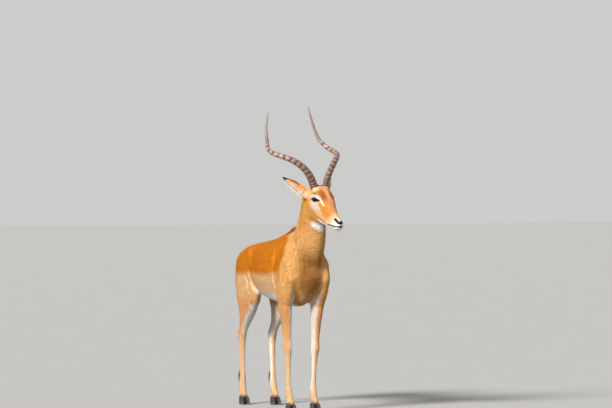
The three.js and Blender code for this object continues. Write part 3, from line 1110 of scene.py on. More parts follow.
def newGroup(name, inputs, outputs):
    group = bpy.data.node_groups.new(name, "ShaderNodeTree")
    for socket, kind, value in inputs:
        made = group.interface.new_socket(socket, in_out="INPUT", socket_type="NodeSocket" + kind)
        if value is not None:
            made.default_value = value
    for socket, kind in outputs:
        group.interface.new_socket(socket, in_out="OUTPUT", socket_type="NodeSocket" + kind)
    return group, group.nodes.new("NodeGroupInput").outputs, group.nodes.new("NodeGroupOutput").inputs


def placeGroup(tree, group, inputs):
    node = tree.nodes.new("ShaderNodeGroup")
    node.node_tree = group
    feed(tree, node, inputs)
    return node.outputs


def mixed(tree, factor, first, second):
    return addNode(tree, "Mix", {0: factor, 6: first, 7: second}, data_type="RGBA").outputs[2]


def mixedValue(tree, factor, first, second):
    return addNode(tree, "Mix", {0: factor, 2: first, 3: second}, data_type="FLOAT").outputs[0]


def ranged(tree, value, low, high):
    # 0 to 1 turned into low to high
    return addNode(tree, "MapRange", {"Value": value, "To Min": low, "To Max": high}).outputs["Result"]


def between(tree, value, low, high, most=1.0):
    # low to high turned into 0 to most
    span = {"Value": value, "From Min": low, "From Max": high, "To Max": most}
    return addNode(tree, "MapRange", span).outputs["Result"]


def computed(tree, operation, *values):
    return addNode(tree, "Math", dict(enumerate(values)), operation=operation).outputs[0]


def noise(tree, place, scale, detail):
    return addNode(tree, "TexNoise", {"Vector": place, "Scale": scale, "Detail": detail}).outputs["Fac"]


def stretched(tree, place, amounts):
    return addNode(tree, "VectorMath", {0: place, 1: amounts}, operation="MULTIPLY").outputs[0]


def shadedBy(tree, colour, swing, amount):
    # the colour made lighter and darker by the amount of the swing
    gain = computed(tree, "MULTIPLY_ADD", swing, amount, 1.0)
    return addNode(tree, "VectorMath", {0: colour, "Scale": gain}, operation="SCALE").outputs[0]


def combedGroup():
    # streaks of hair: they run down where Upright is 1 and along the body where it is 0
    group, given, result = newGroup(
        "combed hair",
        [("Place", "Vector", None), ("Colour", "Color", None), ("Upright", "Float", 0.0),
         ("Fineness", "Float", 900.0), ("Contrast", "Float", 0.2)],
        [("Colour", "Color"), ("Height", "Float")],
    )
    along, down = (
        noise(group, stretched(group, given["Place"], amounts), given["Fineness"], 3)
        for amounts in ((1, 0.07, 1), (1, 1, 0.07))
    )
    height = mixedValue(group, given["Upright"], along, down)
    summed = computed(group, "ADD", height, noise(group, given["Place"], 38, 3))
    swing = computed(group, "ADD", summed, -1.0)
    group.links.new(shadedBy(group, given["Colour"], swing, given["Contrast"]), result["Colour"])
    group.links.new(height, result["Height"])
    return group


def mottledGroup():
    # uneven tone and a fine pitted surface, for horn, hoof and leather
    group, given, result = newGroup(
        "mottled",
        [("Place", "Vector", None), ("Colour", "Color", None), ("Scale", "Float", 60.0),
         ("Amount", "Float", 0.3)],
        [("Colour", "Color"), ("Height", "Float")],
    )
    broad = noise(group, given["Place"], given["Scale"], 5)
    fine = noise(group, given["Place"], 1400, 2)
    swing = computed(group, "ADD", broad, -0.5)
    group.links.new(shadedBy(group, given["Colour"], swing, given["Amount"]), result["Colour"])
    group.links.new(computed(group, "MULTIPLY_ADD", fine, 0.5, broad), result["Height"])
    return group


combed = combedGroup()
mottled = mottledGroup()


def attribute(tree, name):
    return addNode(tree, "Attribute", attribute_name=name, attribute_type="GEOMETRY").outputs


def objectPlace(tree):
    return addNode(tree, "TexCoord").outputs["Object"]


def bumped(tree, shader, height, strength, distance):
    bump = addNode(tree, "Bump", {"Height": height, "Strength": strength, "Distance": distance})
    tree.links.new(bump.outputs["Normal"], shader.inputs["Normal"])


def mottle(tree, place, colour, scale, amount):
    given = {"Place": place, "Colour": colour, "Scale": scale, "Amount": amount}
    return placeGroup(tree, mottled, given)


def coatMaterial(name):
    material, tree, shader = newMaterial(name, Specular_IOR_Level=0.15)
    place = objectPlace(tree)
    colour = attribute(tree, "coatColour")
    upright = attribute(tree, "upright")["Fac"]
    hair = placeGroup(tree, combed, {
        "Place": place, "Colour": colour["Color"], "Upright": upright, "Fineness": 900, "Contrast": 0.24,
    })
    leather = mottle(tree, place, colour["Color"], 300, 0.5)
    hairy = colour["Alpha"]
    tree.links.new(mixed(tree, hairy, leather["Colour"], hair["Colour"]), shader.inputs["Base Color"])
    tree.links.new(ranged(tree, hairy, 0.38, 0.85), shader.inputs["Roughness"])
    bumped(tree, shader, mixedValue(tree, hairy, leather["Height"], hair["Height"]), 0.35, 0.001)
    return material


coat = coatMaterial("coat")
skinShape.materials.append(coat)


def setUpright(mesh, points):
    body = toBody(points)
    values = np.maximum(fade(560, 500, body[:, 2]), fade(250, 330, body[:, 1]))
    layer = mesh.attributes.new("upright", "FLOAT", "POINT")
    layer.data.foreach_set("value", values.astype(np.float32))


setUpright(skinShape, placesOf(skinShape))


# Horns: a ringed, S-shaped sheath on each side.
def curvePoints(corners, steps=40):
    # a smooth curve through the corners, whose bends keep to the spacing of the corners
    corners = np.array(corners, float)
    padded = np.vstack((2 * corners[0] - corners[1], corners, 2 * corners[-1] - corners[-2]))
    gaps = np.linalg.norm(np.diff(padded, axis=0), axis=1) ** 0.5
    points = []
    for index in range(1, len(corners)):
        before, start, end, after = padded[index - 1:index + 3]
        first, middle, last = gaps[index - 1:index + 2]
        leaving = (start - before) / first - (end - before) / (first + middle) + (end - start) / middle
        arriving = (end - start) / middle - (after - start) / (middle + last) + (after - end) / last
        leaving, arriving = leaving * middle, arriving * middle
        for share in np.linspace(0, 1, steps, endpoint=False):
            square, cube = share**2, share**3
            points.append(
                start * (2 * cube - 3 * square + 1) + end * (3 * square - 2 * cube)
                + leaving * (cube - 2 * square + share) + arriving * (cube - square)
            )
    points.append(corners[-1])
    return np.array(points)


def evenly(points, count):
    ends = milestones(points)
    return resampled(points, ends, count), ends[-1]


def hornRing(share, angle, wobble):
    # radius of the horn in millimetres: rings are sharp in front and low behind
    span = hornForm["ringedTo"] - hornForm["ringedFrom"]
    climbed = ((share - hornForm["ringedFrom"]) / span).clip(0) ** hornForm["ringCrowding"]
    turns = hornForm["rings"] * climbed + wobble
    isRinged = fade(0, 0.6, turns) * fade(hornForm["rings"], hornForm["rings"] - 1.5, turns)
    crest = np.exp(-((np.abs(turns % 1 - 0.5) / 0.33) ** 2.4)) - 0.45
    front = 0.62 + 0.38 * np.cos(angle)
    ring = hornForm["ringHeight"] * (1 - turns.clip(0) / hornForm["rings"] / 2) * crest * front * isRinged
    root = 0.6 + 0.4 * fade(0, hornForm["rootShare"], share)
    taper = (1 - share) ** hornForm["taper"] * (1 - share / 4) * root
    tip = hornForm["tip"] * (1 - 0.6 * fade(0.9, 1, share))
    return hornForm["radius"] * taper + tip + ring, crest * isRinged


def tube(sides, rows, values=(), vectors=()):
    # rows of points, each extruded from the one before, and the angle of each point of a row
    shape = bmesh.new()
    for name in values:
        shape.verts.layers.float.new(name)
    for name in vectors:
        shape.verts.layers.float_vector.new(name)
    made = bmesh.ops.create_circle(shape, segments=sides, radius=1)["verts"]
    stack = [made]
    rim = list({edge for vert in made for edge in vert.link_edges})
    for _ in range(rows - 1):
        grown = bmesh.ops.extrude_edge_only(shape, edges=rim)["geom"]
        above = [item for item in grown if isinstance(item, bmesh.types.BMVert)]
        rim = [item for item in grown if isinstance(item, bmesh.types.BMEdge)]
        rim = [edge for edge in rim if edge.verts[0] in above and edge.verts[1] in above]
        stack.append(above)
    angles = [np.array([math.atan2(vert.co.y, vert.co.x) for vert in row]) for row in stack]
    return shape, stack, angles


def closedTube(shape, name):
    rims = [edge for edge in shape.edges if edge.is_boundary]
    bmesh.ops.holes_fill(shape, edges=rims, sides=0)
    return linked(name, smoothMesh(shape, name))


def hornPiece(side, name):
    base = np.array(hornForm["base"])
    corners = [sidePlace(base + np.array(step), side) for step in hornForm["path"]]
    corners[-1] = (*corners[-1][:2], corners[-1][2] + hornForm["tipRise"][side])
    line, length = evenly(fromLevel(curvePoints(corners)), hornForm["stations"] + 1)
    smoothLine(line, hornForm["smoothing"])
    tangents = np.gradient(line, axis=0)
    tangents /= np.linalg.norm(tangents, axis=1)[:, None]
    front = unit(levelDirection((0, 1, 0.2)))
    thin = levelDirection(unit((side, 1, 0)))
    most, until = hornForm["narrowing"]
    shape, stack, angles = tube(hornForm["sides"], hornForm["stations"] + 1, ("crest",), ("hornPlace",))
    crestLayer, placeLayer = shape.verts.layers.float["crest"], shape.verts.layers.float_vector["hornPlace"]
    for row, (verts, around) in enumerate(zip(stack, angles)):
        tangent = tangents[row]
        front = unit(front - tangent * (front @ tangent))
        across = np.cross(tangent, front)
        share = row / hornForm["stations"]
        wobble = 0.07 * np.sin(3 * around + 40 * share) + 0.12 * np.cos(around)
        radii, crests = hornRing(np.full(len(around), share), around, wobble)
        for vert, angle, radius, crest in zip(verts, around, radii, crests):
            reach = front * math.cos(angle) + across * math.sin(angle)
            reach -= thin * (reach @ thin) * most * max(0, 1 - share / until)
            vert.co = Vector(line[row] + reach * radius / 1000)
            # the crest value later gives painted shade in the grooves and painted highlight on the crests
            vert[crestLayer] = crest
            vert[placeLayer] = (math.cos(angle), math.sin(angle), share * length * 6)
    return closedTube(shape, name)


def hornMaterial():
    material, tree, shader = newMaterial("horn", Specular_IOR_Level=0.4)
    place = attribute(tree, "hornPlace")["Vector"]
    crest = attribute(tree, "crest")["Fac"]
    # painted shade in the grooves between the rings and painted highlight on their crests
    tone = mixed(tree, between(tree, crest, -0.4, 0.25), (0.036, 0.018, 0.013, 1), (0.235, 0.150, 0.118, 1))
    along = addNode(tree, "SeparateXYZ", {"Vector": place}).outputs["Z"]
    tone = mixed(tree, between(tree, along, 2.6, 4.4), tone, (0.225, 0.180, 0.170, 1))
    low = between(tree, along, 0.2, 1.5)
    tone = mixed(tree, ranged(tree, low, 0.2, 1.0), (0.062, 0.026, 0.014, 1), tone)
    worn = mottle(tree, objectPlace(tree), tone, 70, 0.7)
    tree.links.new(worn["Colour"], shader.inputs["Base Color"])
    fibres = noise(tree, stretched(tree, place, (14, 14, 1.6)), 1.0, 5)
    tree.links.new(ranged(tree, fibres, 0.26, 0.52), shader.inputs["Roughness"])
    bumped(tree, shader, computed(tree, "MULTIPLY_ADD", worn["Height"], 0.3, fibres), 0.5, 0.0015)
    return material


horn = hornMaterial()
for side, name in bothSides:
    piece = hornPiece(side, "horn_sheath_" + name)
    piece.data.materials.append(horn)
    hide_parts("horn_" + name)
    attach(piece, "root")
report("horns")


# Eyes: a dark ball with a level pupil under a clear surface.
eyeLook = {
    "pupil": (5.6, 3.3),    # half length and half height of the pupil (mm)
    "iris": 10.5,
    "bulge": 0.9,           # how far the clear front stands out
    "hues": {"pupil": "#030202", "iris": "#140a05", "edge": "#070403", "white": "#1e140e"},
}


def eyePiece(side, name):
    shape = bmesh.new()
    bmesh.ops.create_uvsphere(shape, u_segments=72, v_segments=48, radius=1)
    axis, length, up = eyeFrame(side)
    radius = eyeForm["radius"]
    middle = levelEye(side)
    for vert in shape.verts:
        out, along, rise = vert.co.z, vert.co.x, vert.co.y
        away = radius * math.hypot(along, rise)
        reach = radius - 0.25 + (eyeLook["bulge"] * math.exp(-((away / 9) ** 4)) if out > 0 else 0)
        place = middle + (axis * out + length * along + up * rise) * reach
        vert.co = Vector(fromLevel(place))
    mesh = smoothMesh(shape, name)
    offset = toLevel(placesOf(mesh)) - middle
    along, rise, out = offset @ length, offset @ up, offset @ axis
    away = np.hypot(along, rise)
    hues = linear(eyeLook["hues"])
    colours = np.tile(hues["white"], (len(offset), 1))
    colours = painted(colours, 1 - fade(eyeLook["iris"] + 0.6, eyeLook["iris"] + 2.2, away), hues["edge"])
    colours = painted(colours, 1 - fade(eyeLook["iris"] - 2, eyeLook["iris"], away), hues["iris"])
    longSide, tall = eyeLook["pupil"]
    colours = painted(colours, 1 - fade(0.8, 1.05, np.hypot(along / longSide, rise / tall)), hues["pupil"])
    setColours(mesh, painted(colours, (out < 0) * 1.0, hues["edge"]), np.ones(len(offset)))
    return linked(name, mesh)


def eyeMaterial():
    material, tree, shader = newMaterial("eye", Coat_Roughness=0.02, Specular_IOR_Level=0.1)
    shader.inputs["Coat Weight"].default_value = 0.12
    rays = mottle(tree, objectPlace(tree), attribute(tree, "coatColour")["Color"], 420, 0.8)
    tree.links.new(rays["Colour"], shader.inputs["Base Color"])
    tree.links.new(ranged(tree, rays["Height"], 0.05, 0.12), shader.inputs["Roughness"])
    return material


eye = eyeMaterial()
for side, name in bothSides:
    piece = eyePiece(side, "eyeball_" + name)
    piece.data.materials.append(eye)
    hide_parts("eye_" + name)
    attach(piece, "root")
report("eyes")


# Hooves: two claws to a foot, flat below, with rounded walls that lean back.
clawForm = {
    # height, forward of the coronet, half length and half width of each level
    "levels": [
        (0, 13, 37, 11.2), (4, 13, 37.5, 11.8), (20, 7, 31, 11.6), (34, 2, 24.5, 10.9), (40, 0, 21, 9.6),
    ],
    "apart": 12.8,
    "track": 70,
    "sides": 40,
    "rows": 26,
    "growthLines": 7,
    "lineDepth": 0.16,
    "soleRound": 1.4,       # how far the edge of the sole is rounded in, over soleRise
    "soleRise": 2.4,
    "soleRows": 6,
    "restForward": {"fore": 309, "hind": -384},     # the coronets' place without the stance
}


def clawPiece(name, side, outer, topForward):
    shape, stack, angles = tube(clawForm["sides"], clawForm["rows"])
    levels = np.array(clawForm["levels"])
    out = side * (clawForm["track"] + outer * clawForm["apart"])
    splay = outer * side * 0.07
    top = levels[-1, 0]
    soleRise, soleRows = clawForm["soleRise"], clawForm["soleRows"]
    heights = np.concatenate((
        np.linspace(0, soleRise, soleRows), np.linspace(3.2, top, clawForm["rows"] - soleRows),
    ))
    for height, verts, around in zip(heights, stack, angles):
        forward, halfLength, halfWidth = (
            np.interp(height, levels[:, 0], levels[:, part]) for part in (1, 2, 3)
        )
        curl = max(0, 1 - height / soleRise)
        inset = clawForm["soleRound"] * (1 - math.sqrt(1 - curl**2))
        inset += clawForm["lineDepth"] * math.cos(height / top * 2 * math.pi * clawForm["growthLines"])
        inset += 1.2 * max(0, height / top - 0.93) / 0.07
        for vert, angle in zip(verts, around):
            along, across = math.sin(angle), math.cos(angle)
            flat = 1 - 0.12 * max(0, -across * outer * side)  # the inner wall is flatter
            across = math.copysign(abs(across) ** 0.8, across) * flat
            taper = 1 - 0.55 * along**2.4 if along > 0 else 1
            ahead = forward + along * (halfLength - inset)
            place = (out + across * (halfWidth - inset) * taper + splay * ahead, topForward + ahead, height)
            vert.co = Vector(fromBody(place))
    return closedTube(shape, name)


def hoofMaterial():
    material, tree, shader = newMaterial("hoof", Specular_IOR_Level=0.45)
    place = objectPlace(tree)
    worn = mottle(tree, place, (0.022, 0.018, 0.016, 1), 90, 1.1)
    layers = noise(tree, stretched(tree, place, (60, 60, 900)), 1.0, 3)
    dusty = between(tree, addNode(tree, "SeparateXYZ", {"Vector": place}).outputs["Z"], 0.012, 0.0, 0.5)
    tree.links.new(mixed(tree, dusty, worn["Colour"], (0.13, 0.10, 0.075, 1)), shader.inputs["Base Color"])
    tree.links.new(ranged(tree, layers, 0.3, 0.6), shader.inputs["Roughness"])
    bumped(tree, shader, computed(tree, "MULTIPLY_ADD", worn["Height"], 0.25, layers), 0.4, 0.0008)
    return material


hoof = hoofMaterial()
for end, rest in clawForm["restForward"].items():
    for side, name in bothSides:
        stance = limbStance[end]
        topForward = rest + stance[side] * (1 - 40 / stance["pivot"]) ** 1.3
        for outer, place in ((1, "outer"), (-1, "inner")):
            piece = clawPiece(f"claw_{end}_{name}_{place}", side, outer, topForward)
            piece.data.materials.append(hoof)
            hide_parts(f"hoof_{end}_{name}_{place}")
            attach(piece, "root")
report("hooves")

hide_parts("trunk", "neck", "head", "ear_left", "ear_right",
            "foreleg_left", "foreleg_right", "hindleg_left", "hindleg_right")
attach(skin, "root")


# Coat: thin tufts rooted in the skin, each lying along the flow of the hair.
coatForm = {
    "seed": 11,
    "mostTufts": 48500,     # in one piece
    "legTop": 560,          # where the legs' own pieces begin (mm)
    "quickShare": 0.25,
    "stray": 0.16,          # how far tufts stray from the lie of the coat
    "rise": 0.12,           # how far a tuft's middle stands above the skin, as a share of its width
    "sink": 0.12,           # how far its edges lie below the skin, as a share of its width
    "lowest": 0.0405,       # where the coat ends above the hooves (m)
    "rootShade": 0.94,
    "tipShade": 1.04,
    "uneven": 0.055,
    # length and width in millimetres, coverage, and how steeply the tufts stand
    "trunk": (12.5, 1.25, 1.25, 0.14),
    "neck": (11.5, 1.1, 1.2, 0.15),
    "belly": (17.0, 1.6, 1.1, 0.18),
    "rump": (17.0, 1.5, 1.25, 0.16),
    "thigh": (10.5, 1.15, 1.2, 0.13),
    "shin": (6.2, 0.85, 1.1, 0.11),
    "face": (4.6, 0.62, 1.1, 0.14),
    "muzzle": (2.6, 0.42, 1.0, 0.16),
    "ear": (5.0, 0.70, 1.25, 0.04),
    "crest": (22.0, 1.6, 1.7, 0.75),
    "shank": (17.0, 1.2, 1.8, 0.50),
    "coronet": (9.0, 0.9, 1.3, 0.18),
}


def towardsNeck(body):
    # forward places, slanted as the border between trunk and neck is
    return body[:, 1] + (body[:, 2] - 760) * 0.25


def lieOfCoat(points):
    body = unstepped(toBody(points))
    forward, height = body[:, 1], body[:, 2]
    back, down = np.array((0, 1, 0)), np.array((0, 0, -1))
    low = fade(860, 600, height)[:, None]
    flow = back + down * (0.12 + 0.75 * low**2)
    leg = fade(600, 500, height)[:, None]
    flow += (down + 0.06 * back - flow) * leg
    neck = fade(215, 345, towardsNeck(body))[:, None] * (1 - leg)
    flow += (down + 0.3 * back - flow) * neck
    tail = (fade(-430, -455, forward) * fade(790, 740, height))[:, None]
    flow += (down - flow) * tail
    face = toFace(points)
    isHead = fade(-98, -70, face[:, 1]) * fade(-150, -125, face[:, 2]) * (height > headFrom)
    lower = fade(10, -70, face[:, 2])[:, None]
    faceFlow = faceDirection((0, -1, 0.12)) + faceDirection((0, 0, -0.55)) * lower
    flow += (faceFlow - flow) * isHead[:, None]
    ears = earMask(points)
    for side in (1, -1):
        base, tip = earEnds(side)
        ahead = unit(tip - base)
        here = ears * (np.sign(face[:, 0]) == side)
        flow += (levelDirection(ahead) - flow) * here[:, None]
    return flow


def coatKinds(points, normals):
    # how much of each kind of coat there is at a place, from the general to the particular
    body = folded(unstepped(toBody(points)))
    face = folded(toFace(points))
    height = body[:, 2]
    isHead = fade(-98, -78, face[:, 1]) * fade(-150, -128, face[:, 2]) * (height > headFrom)
    rump = fade(-395, -425, body[:, 1]) * fade(520, 580, height) * fade(60, 45, body[:, 0])
    yield "neck", fade(215, 345, towardsNeck(body))
    yield "belly", fade(0.3, 0.7, -normals[:, 2]) * (body[:, 1] < 330) * fade(500, 540, height)
    yield "thigh", fade(620, 540, height)
    yield "shin", fade(470, 340, height)
    yield "rump", rump
    yield "shank", spot(body, shankTuft, (24, 16, 34), 0.4)
    yield "coronet", fade(58, 48, height)
    yield "crest", spot(body, (0, 190, 888), (17, 66, 24), 0.4)
    yield "face", isHead
    yield "muzzle", isHead * fade(70, 125, face[:, 1])
    yield "muzzle", isHead * roundEye(face, 30)
    yield "ear", earMask(points)


def coatMeasures(points, normals):
    measures = np.tile(coatForm["trunk"], (len(points), 1))
    for kind, share in coatKinds(points, normals):
        measures = measures + (np.array(coatForm[kind]) - measures) * share[:, None]
    return measures.T


def bareOfCoat(points):
    # places where nothing grows: leather, under the horns and inside the hooves
    bare = (bareMask(points) * (toFace(points)[:, 1] > -95) > 0.45) | (points[:, 2] < coatForm["lowest"])
    away, along = aroundHorn(points)
    return bare | ((away < hornForm["baseRadius"] + 1) & (along > -7) & (along < 40))


def skinTriangles():
    mesh = skinShape
    corners = np.empty(len(mesh.loops), np.int32)
    mesh.loops.foreach_get("vertex_index", corners)
    flat = np.empty(len(mesh.loops) * 2, np.float32)
    mesh.uv_layers["OFBake"].data.foreach_get("uv", flat)
    return corners.reshape(-1, 3), flat.reshape(-1, 3, 2).astype(float)


def unitRows(vectors):
    return vectors / np.maximum(np.linalg.norm(vectors, axis=1), 1e-9)[:, None]


random = np.random.default_rng(coatForm["seed"])
triangleCorners, triangleUnwrap = skinTriangles()
skinPlaces, skinNormals = placesOf(skinShape), normalsOf(skinShape)
triangleMiddles = skinPlaces[triangleCorners].mean(1)
triangleNormals = unitRows(skinNormals[triangleCorners].mean(1))
edgeOne, edgeTwo = (
    skinPlaces[triangleCorners[:, corner]] - skinPlaces[triangleCorners[:, 0]] for corner in (1, 2)
)
triangleAreas = np.linalg.norm(np.cross(edgeOne, edgeTwo), axis=1) / 2 * 1e6  # square millimetres


def rootsOn(density):
    # places, normals and unwrap of roots, with density of them on each triangle
    expected = triangleAreas * density
    counts = np.floor(expected + random.random(len(expected))).astype(int)
    chosen = np.repeat(np.arange(len(counts)), counts)
    one, two = random.random((2, len(chosen)))
    over = one + two > 1
    one, two = np.where(over, 1 - one, one), np.where(over, 1 - two, two)
    shares = np.stack((1 - one - two, one, two), axis=1)[:, :, None]
    places = (skinPlaces[triangleCorners[chosen]] * shares).sum(1)
    normals = unitRows((skinNormals[triangleCorners[chosen]] * shares).sum(1))
    return places, normals, (triangleUnwrap[chosen] * shares).sum(1)


def arrayMesh(name, places, triangles, colours, unwrap):
    # a mesh from arrays: unwrap has one place for each point
    mesh = bpy.data.meshes.new(name)
    mesh.vertices.add(len(places))
    mesh.vertices.foreach_set("co", places.astype(np.float32).ravel())
    mesh.loops.add(triangles.size)
    mesh.loops.foreach_set("vertex_index", triangles.astype(np.int32).ravel())
    mesh.polygons.add(len(triangles))
    mesh.polygons.foreach_set("loop_start", np.arange(0, triangles.size, 3, dtype=np.int32))
    mesh.update(calc_edges=True)
    setColours(mesh, colours, np.ones(len(places)))
    layer = mesh.uv_layers.new(name="OFBake")
    layer.data.foreach_set("uv", unwrap[triangles.ravel()].astype(np.float32).ravel())
    return linked(name, mesh)


tuftPatch = np.array(((-0.0015, -0.0015), (0.0015, -0.0015), (0, 0), (0, 0.0015)))
tuftFaces = np.array(((0, 2, 3), (1, 3, 2), (0, 3, 1), (0, 1, 2)))


def tuftPiece(name, places, normals, unwrap, lengths, widths, steepness):
    count = len(places)
    flow = lieOfCoat(places) + coatForm["stray"] * random.normal(size=(count, 3))
    flow = unitRows(flow - normals * (flow * normals).sum(1)[:, None])
    across = np.cross(normals, flow)
    lengths = lengths * random.uniform(0.72, 1.28, count) / 1000
    widths = (widths * random.uniform(0.8, 1.2, count) / 1000)[:, None]
    steep = np.clip(steepness * random.uniform(0.55, 1.45, count), 0.03, 0.9)
    tips = places + flow * (lengths * np.cos(steep))[:, None] + normals * (lengths * np.sin(steep))[:, None]
    sunk = places - normals * widths * coatForm["sink"]
    middle = places + normals * widths * coatForm["rise"] - flow * widths * 0.5
    points = np.stack((sunk + across * widths / 2, sunk - across * widths / 2, middle, tips), axis=1)
    colours, _ = coatColours(places, normals)
    gain = (1 + coatForm["uneven"] * random.normal(size=count)).clip(0.7, 1.35)[:, None]
    warmth = 1 + 0.03 * random.normal(size=(count, 1)) * np.array((-0.5, 0.2, 1.0))
    colours = colours * gain * warmth
    shades = np.array((coatForm["rootShade"], coatForm["rootShade"], 0.95, coatForm["tipShade"]))
    shaded = (colours[:, None, :] * shades[:, None]).reshape(-1, 3).clip(0, 1)
    triangles = (np.arange(count)[:, None, None] * 4 + tuftFaces).reshape(-1, 3)
    patches = (unwrap[:, None, :] + tuftPatch).reshape(-1, 2)
    piece = arrayMesh(name, points.reshape(-1, 3), triangles, shaded, patches)
    setUpright(piece.data, points.reshape(-1, 3))
    return piece


def finishCoat(piece, material):
    piece.data.materials.append(material)
    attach(piece, "root")


def growCoat():
    lengths, widths, coverage, _ = coatMeasures(triangleMiddles, triangleNormals)
    density = coverage / (lengths * widths / 2) * ~bareOfCoat(triangleMiddles)
    places, normals, unwrap = rootsOn(density)
    body = toBody(places)
    isHead = (toFace(places)[:, 1] > -98) & (toFace(places)[:, 2] > -150) & (body[:, 2] > headFrom)
    isLeg = body[:, 2] <= coatForm["legTop"]
    parts = {
        "head": isHead,
        "neck": ~isHead & (towardsNeck(body) > 280) & ~isLeg,
        "forelegs": isLeg & (body[:, 1] > 0),
        "hindlegs": isLeg & (body[:, 1] <= 0),
    }
    parts["trunk"] = ~np.any(list(parts.values()), axis=0)
    total = 0
    for part, isPart in parts.items():
        indices = np.flatnonzero(isPart)
        indices = indices[np.argsort(body[indices, 1], kind="stable")]
        pieces = max(1, math.ceil(len(indices) / coatForm["mostTufts"]))
        for number, some in enumerate(np.array_split(indices, pieces), 1):
            length, width, _, steep = coatMeasures(places[some], normals[some])
            name = f"coat_{part}_{number}"
            piece = tuftPiece(name, places[some], normals[some], unwrap[some], length, width, steep)
            finishCoat(piece, coat)
            total += len(some)
        report(f"coat on the {part}, {len(indices)} tufts in {pieces} pieces")
    return total


coatCount = growCoat()
report(f"coat grown, {coatCount} tufts, {coatCount * 4} triangles")


# Long hair: locks of several lengths, for the tail, ears, lids and lips.
# Each kind's sag is its bend as a share of its length, its spread how far the locks stray.
lockForm = {"rings": 3, "patch": 0.0014}


def lockPiece(name, places, unwrap, flows, lengths, colours, form):
    # three-sided locks that taper to a point and bend down with their weight
    count, rings = len(places), lockForm["rings"]
    flows = unitRows(flows + form["spread"] * random.normal(size=(count, 3)))
    lengths = (lengths * random.uniform(0.75, 1.25, count) / 1000)[:, None]
    widths = (form["width"] * random.uniform(0.8, 1.2, count) / 1000)[:, None]
    side = unitRows(np.cross(flows, (0.37, 0.21, 0.9)))
    thick = np.cross(flows, side)
    points, shades, patch = [], [], []
    for ring in range(rings + 1):
        share = ring / rings
        middle = places + lengths * (flows * share + form["sag"] * share**2 * np.array((0, 0, -1)))
        for corner in range(3 if ring < rings else 1):
            angle = 2 * math.pi * corner / 3
            reach = (side * math.cos(angle) + thick * math.sin(angle)) * widths * (1 - share) ** 0.6 / 2
            points.append(middle + reach)
            shades.append(0.82 + 0.3 * share)
            patch.append((
                (corner - 1) * lockForm["patch"] * (1 - share), lockForm["patch"] * (2 * share - 1),
            ))
    faces = [(0, 1, 2)]
    for ring in range(rings - 1):
        for corner in range(3):
            first, second = 3 * ring + corner, 3 * ring + (corner + 1) % 3
            faces += [(first, first + 3, second + 3), (first, second + 3, second)]
    last = 3 * (rings - 1)
    faces += [(last + corner, last + 3, last + (corner + 1) % 3) for corner in range(3)]
    size = len(points)
    gain = (1 + 0.08 * random.normal(size=count)).clip(0.75, 1.3)[:, None, None]
    shaded = (colours[:, None, :] * gain * np.array(shades)[:, None]).reshape(-1, 3).clip(0, 1)
    triangles = (np.arange(count)[:, None, None] * size + np.array(faces)).reshape(-1, 3)
    patches = (unwrap[:, None, :] + np.array(patch)).reshape(-1, 2)
    flat = np.stack(points, axis=1).reshape(-1, 3)
    piece = arrayMesh(name, flat, triangles, shaded, patches)
    setUpright(piece.data, flat)
    return piece


def nearestUnwrap(places):
    nearest = [((triangleMiddles - place) ** 2).sum(1).argmin() for place in places]
    return np.array([triangleUnwrap[index].mean(0) for index in nearest])


tailForm = {
    "locks": 1500,
    "reach": 15,            # roots lie this near the middle of the tail (mm)
    "heights": [530, 600, 680, 770],
    "lengths": [46, 52, 40, 20],
    "width": 2.4,
    "sag": 0.05,
    "spread": 0.09,
    "outward": [0.50, 0.62, 0.42, 0.18],
    "line": 2.2,            # half width of the dark line down the back of the tail
    "top": 9,               # half width of the brown of its upper part
}


def tailHair():
    levels, middles = tailLine(mergedCopy("tail"))
    low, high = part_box("tail")
    across = triangleMiddles[:, 0] - bodyOrigin.x
    behind = triangleMiddles[:, 1] - np.interp(triangleMiddles[:, 2], levels, middles)
    near = np.hypot(across, behind) * 1000 < tailForm["reach"]
    near &= (triangleMiddles[:, 2] > low.z) & (triangleMiddles[:, 2] < high.z - 0.012)
    near &= behind > -0.012
    weight = triangleAreas * near * (1 + 1.5 * fade(0.70, 0.56, triangleMiddles[:, 2]))
    places, normals, unwrap = rootsOn(tailForm["locks"] / weight.sum() * weight / triangleAreas)
    height = places[:, 2] * 1000
    side = (places[:, 0] - bodyOrigin.x) * 1000
    outward = np.interp(height, tailForm["heights"], tailForm["outward"])
    flows = normals * (1, 0.5, 0) * outward[:, None] + np.array((0, 0.06, -1))
    lengths = np.interp(height, tailForm["heights"], tailForm["lengths"])
    colours = np.tile(coatHues["white"], (len(places), 1))
    isBack = normals[:, 1] > 0.1
    brown = isBack * fade(tailForm["top"], tailForm["top"] - 3, np.abs(side)) * fade(600, 720, height)
    colours = painted(colours, brown, coatHues["tailTop"])
    dark = isBack * fade(tailForm["line"] + 1, tailForm["line"] - 1, np.abs(side)) * fade(545, 575, height)
    colours = painted(colours, dark, coatHues["black"])
    flows[:, 0] *= 1 - 0.8 * dark
    return lockPiece("tail_hair", places, unwrap, flows, lengths, colours, tailForm)


earHair = {"count": 760, "length": 10.5, "width": 0.6, "lean": 0.25, "sag": 0.1, "spread": 0.25}


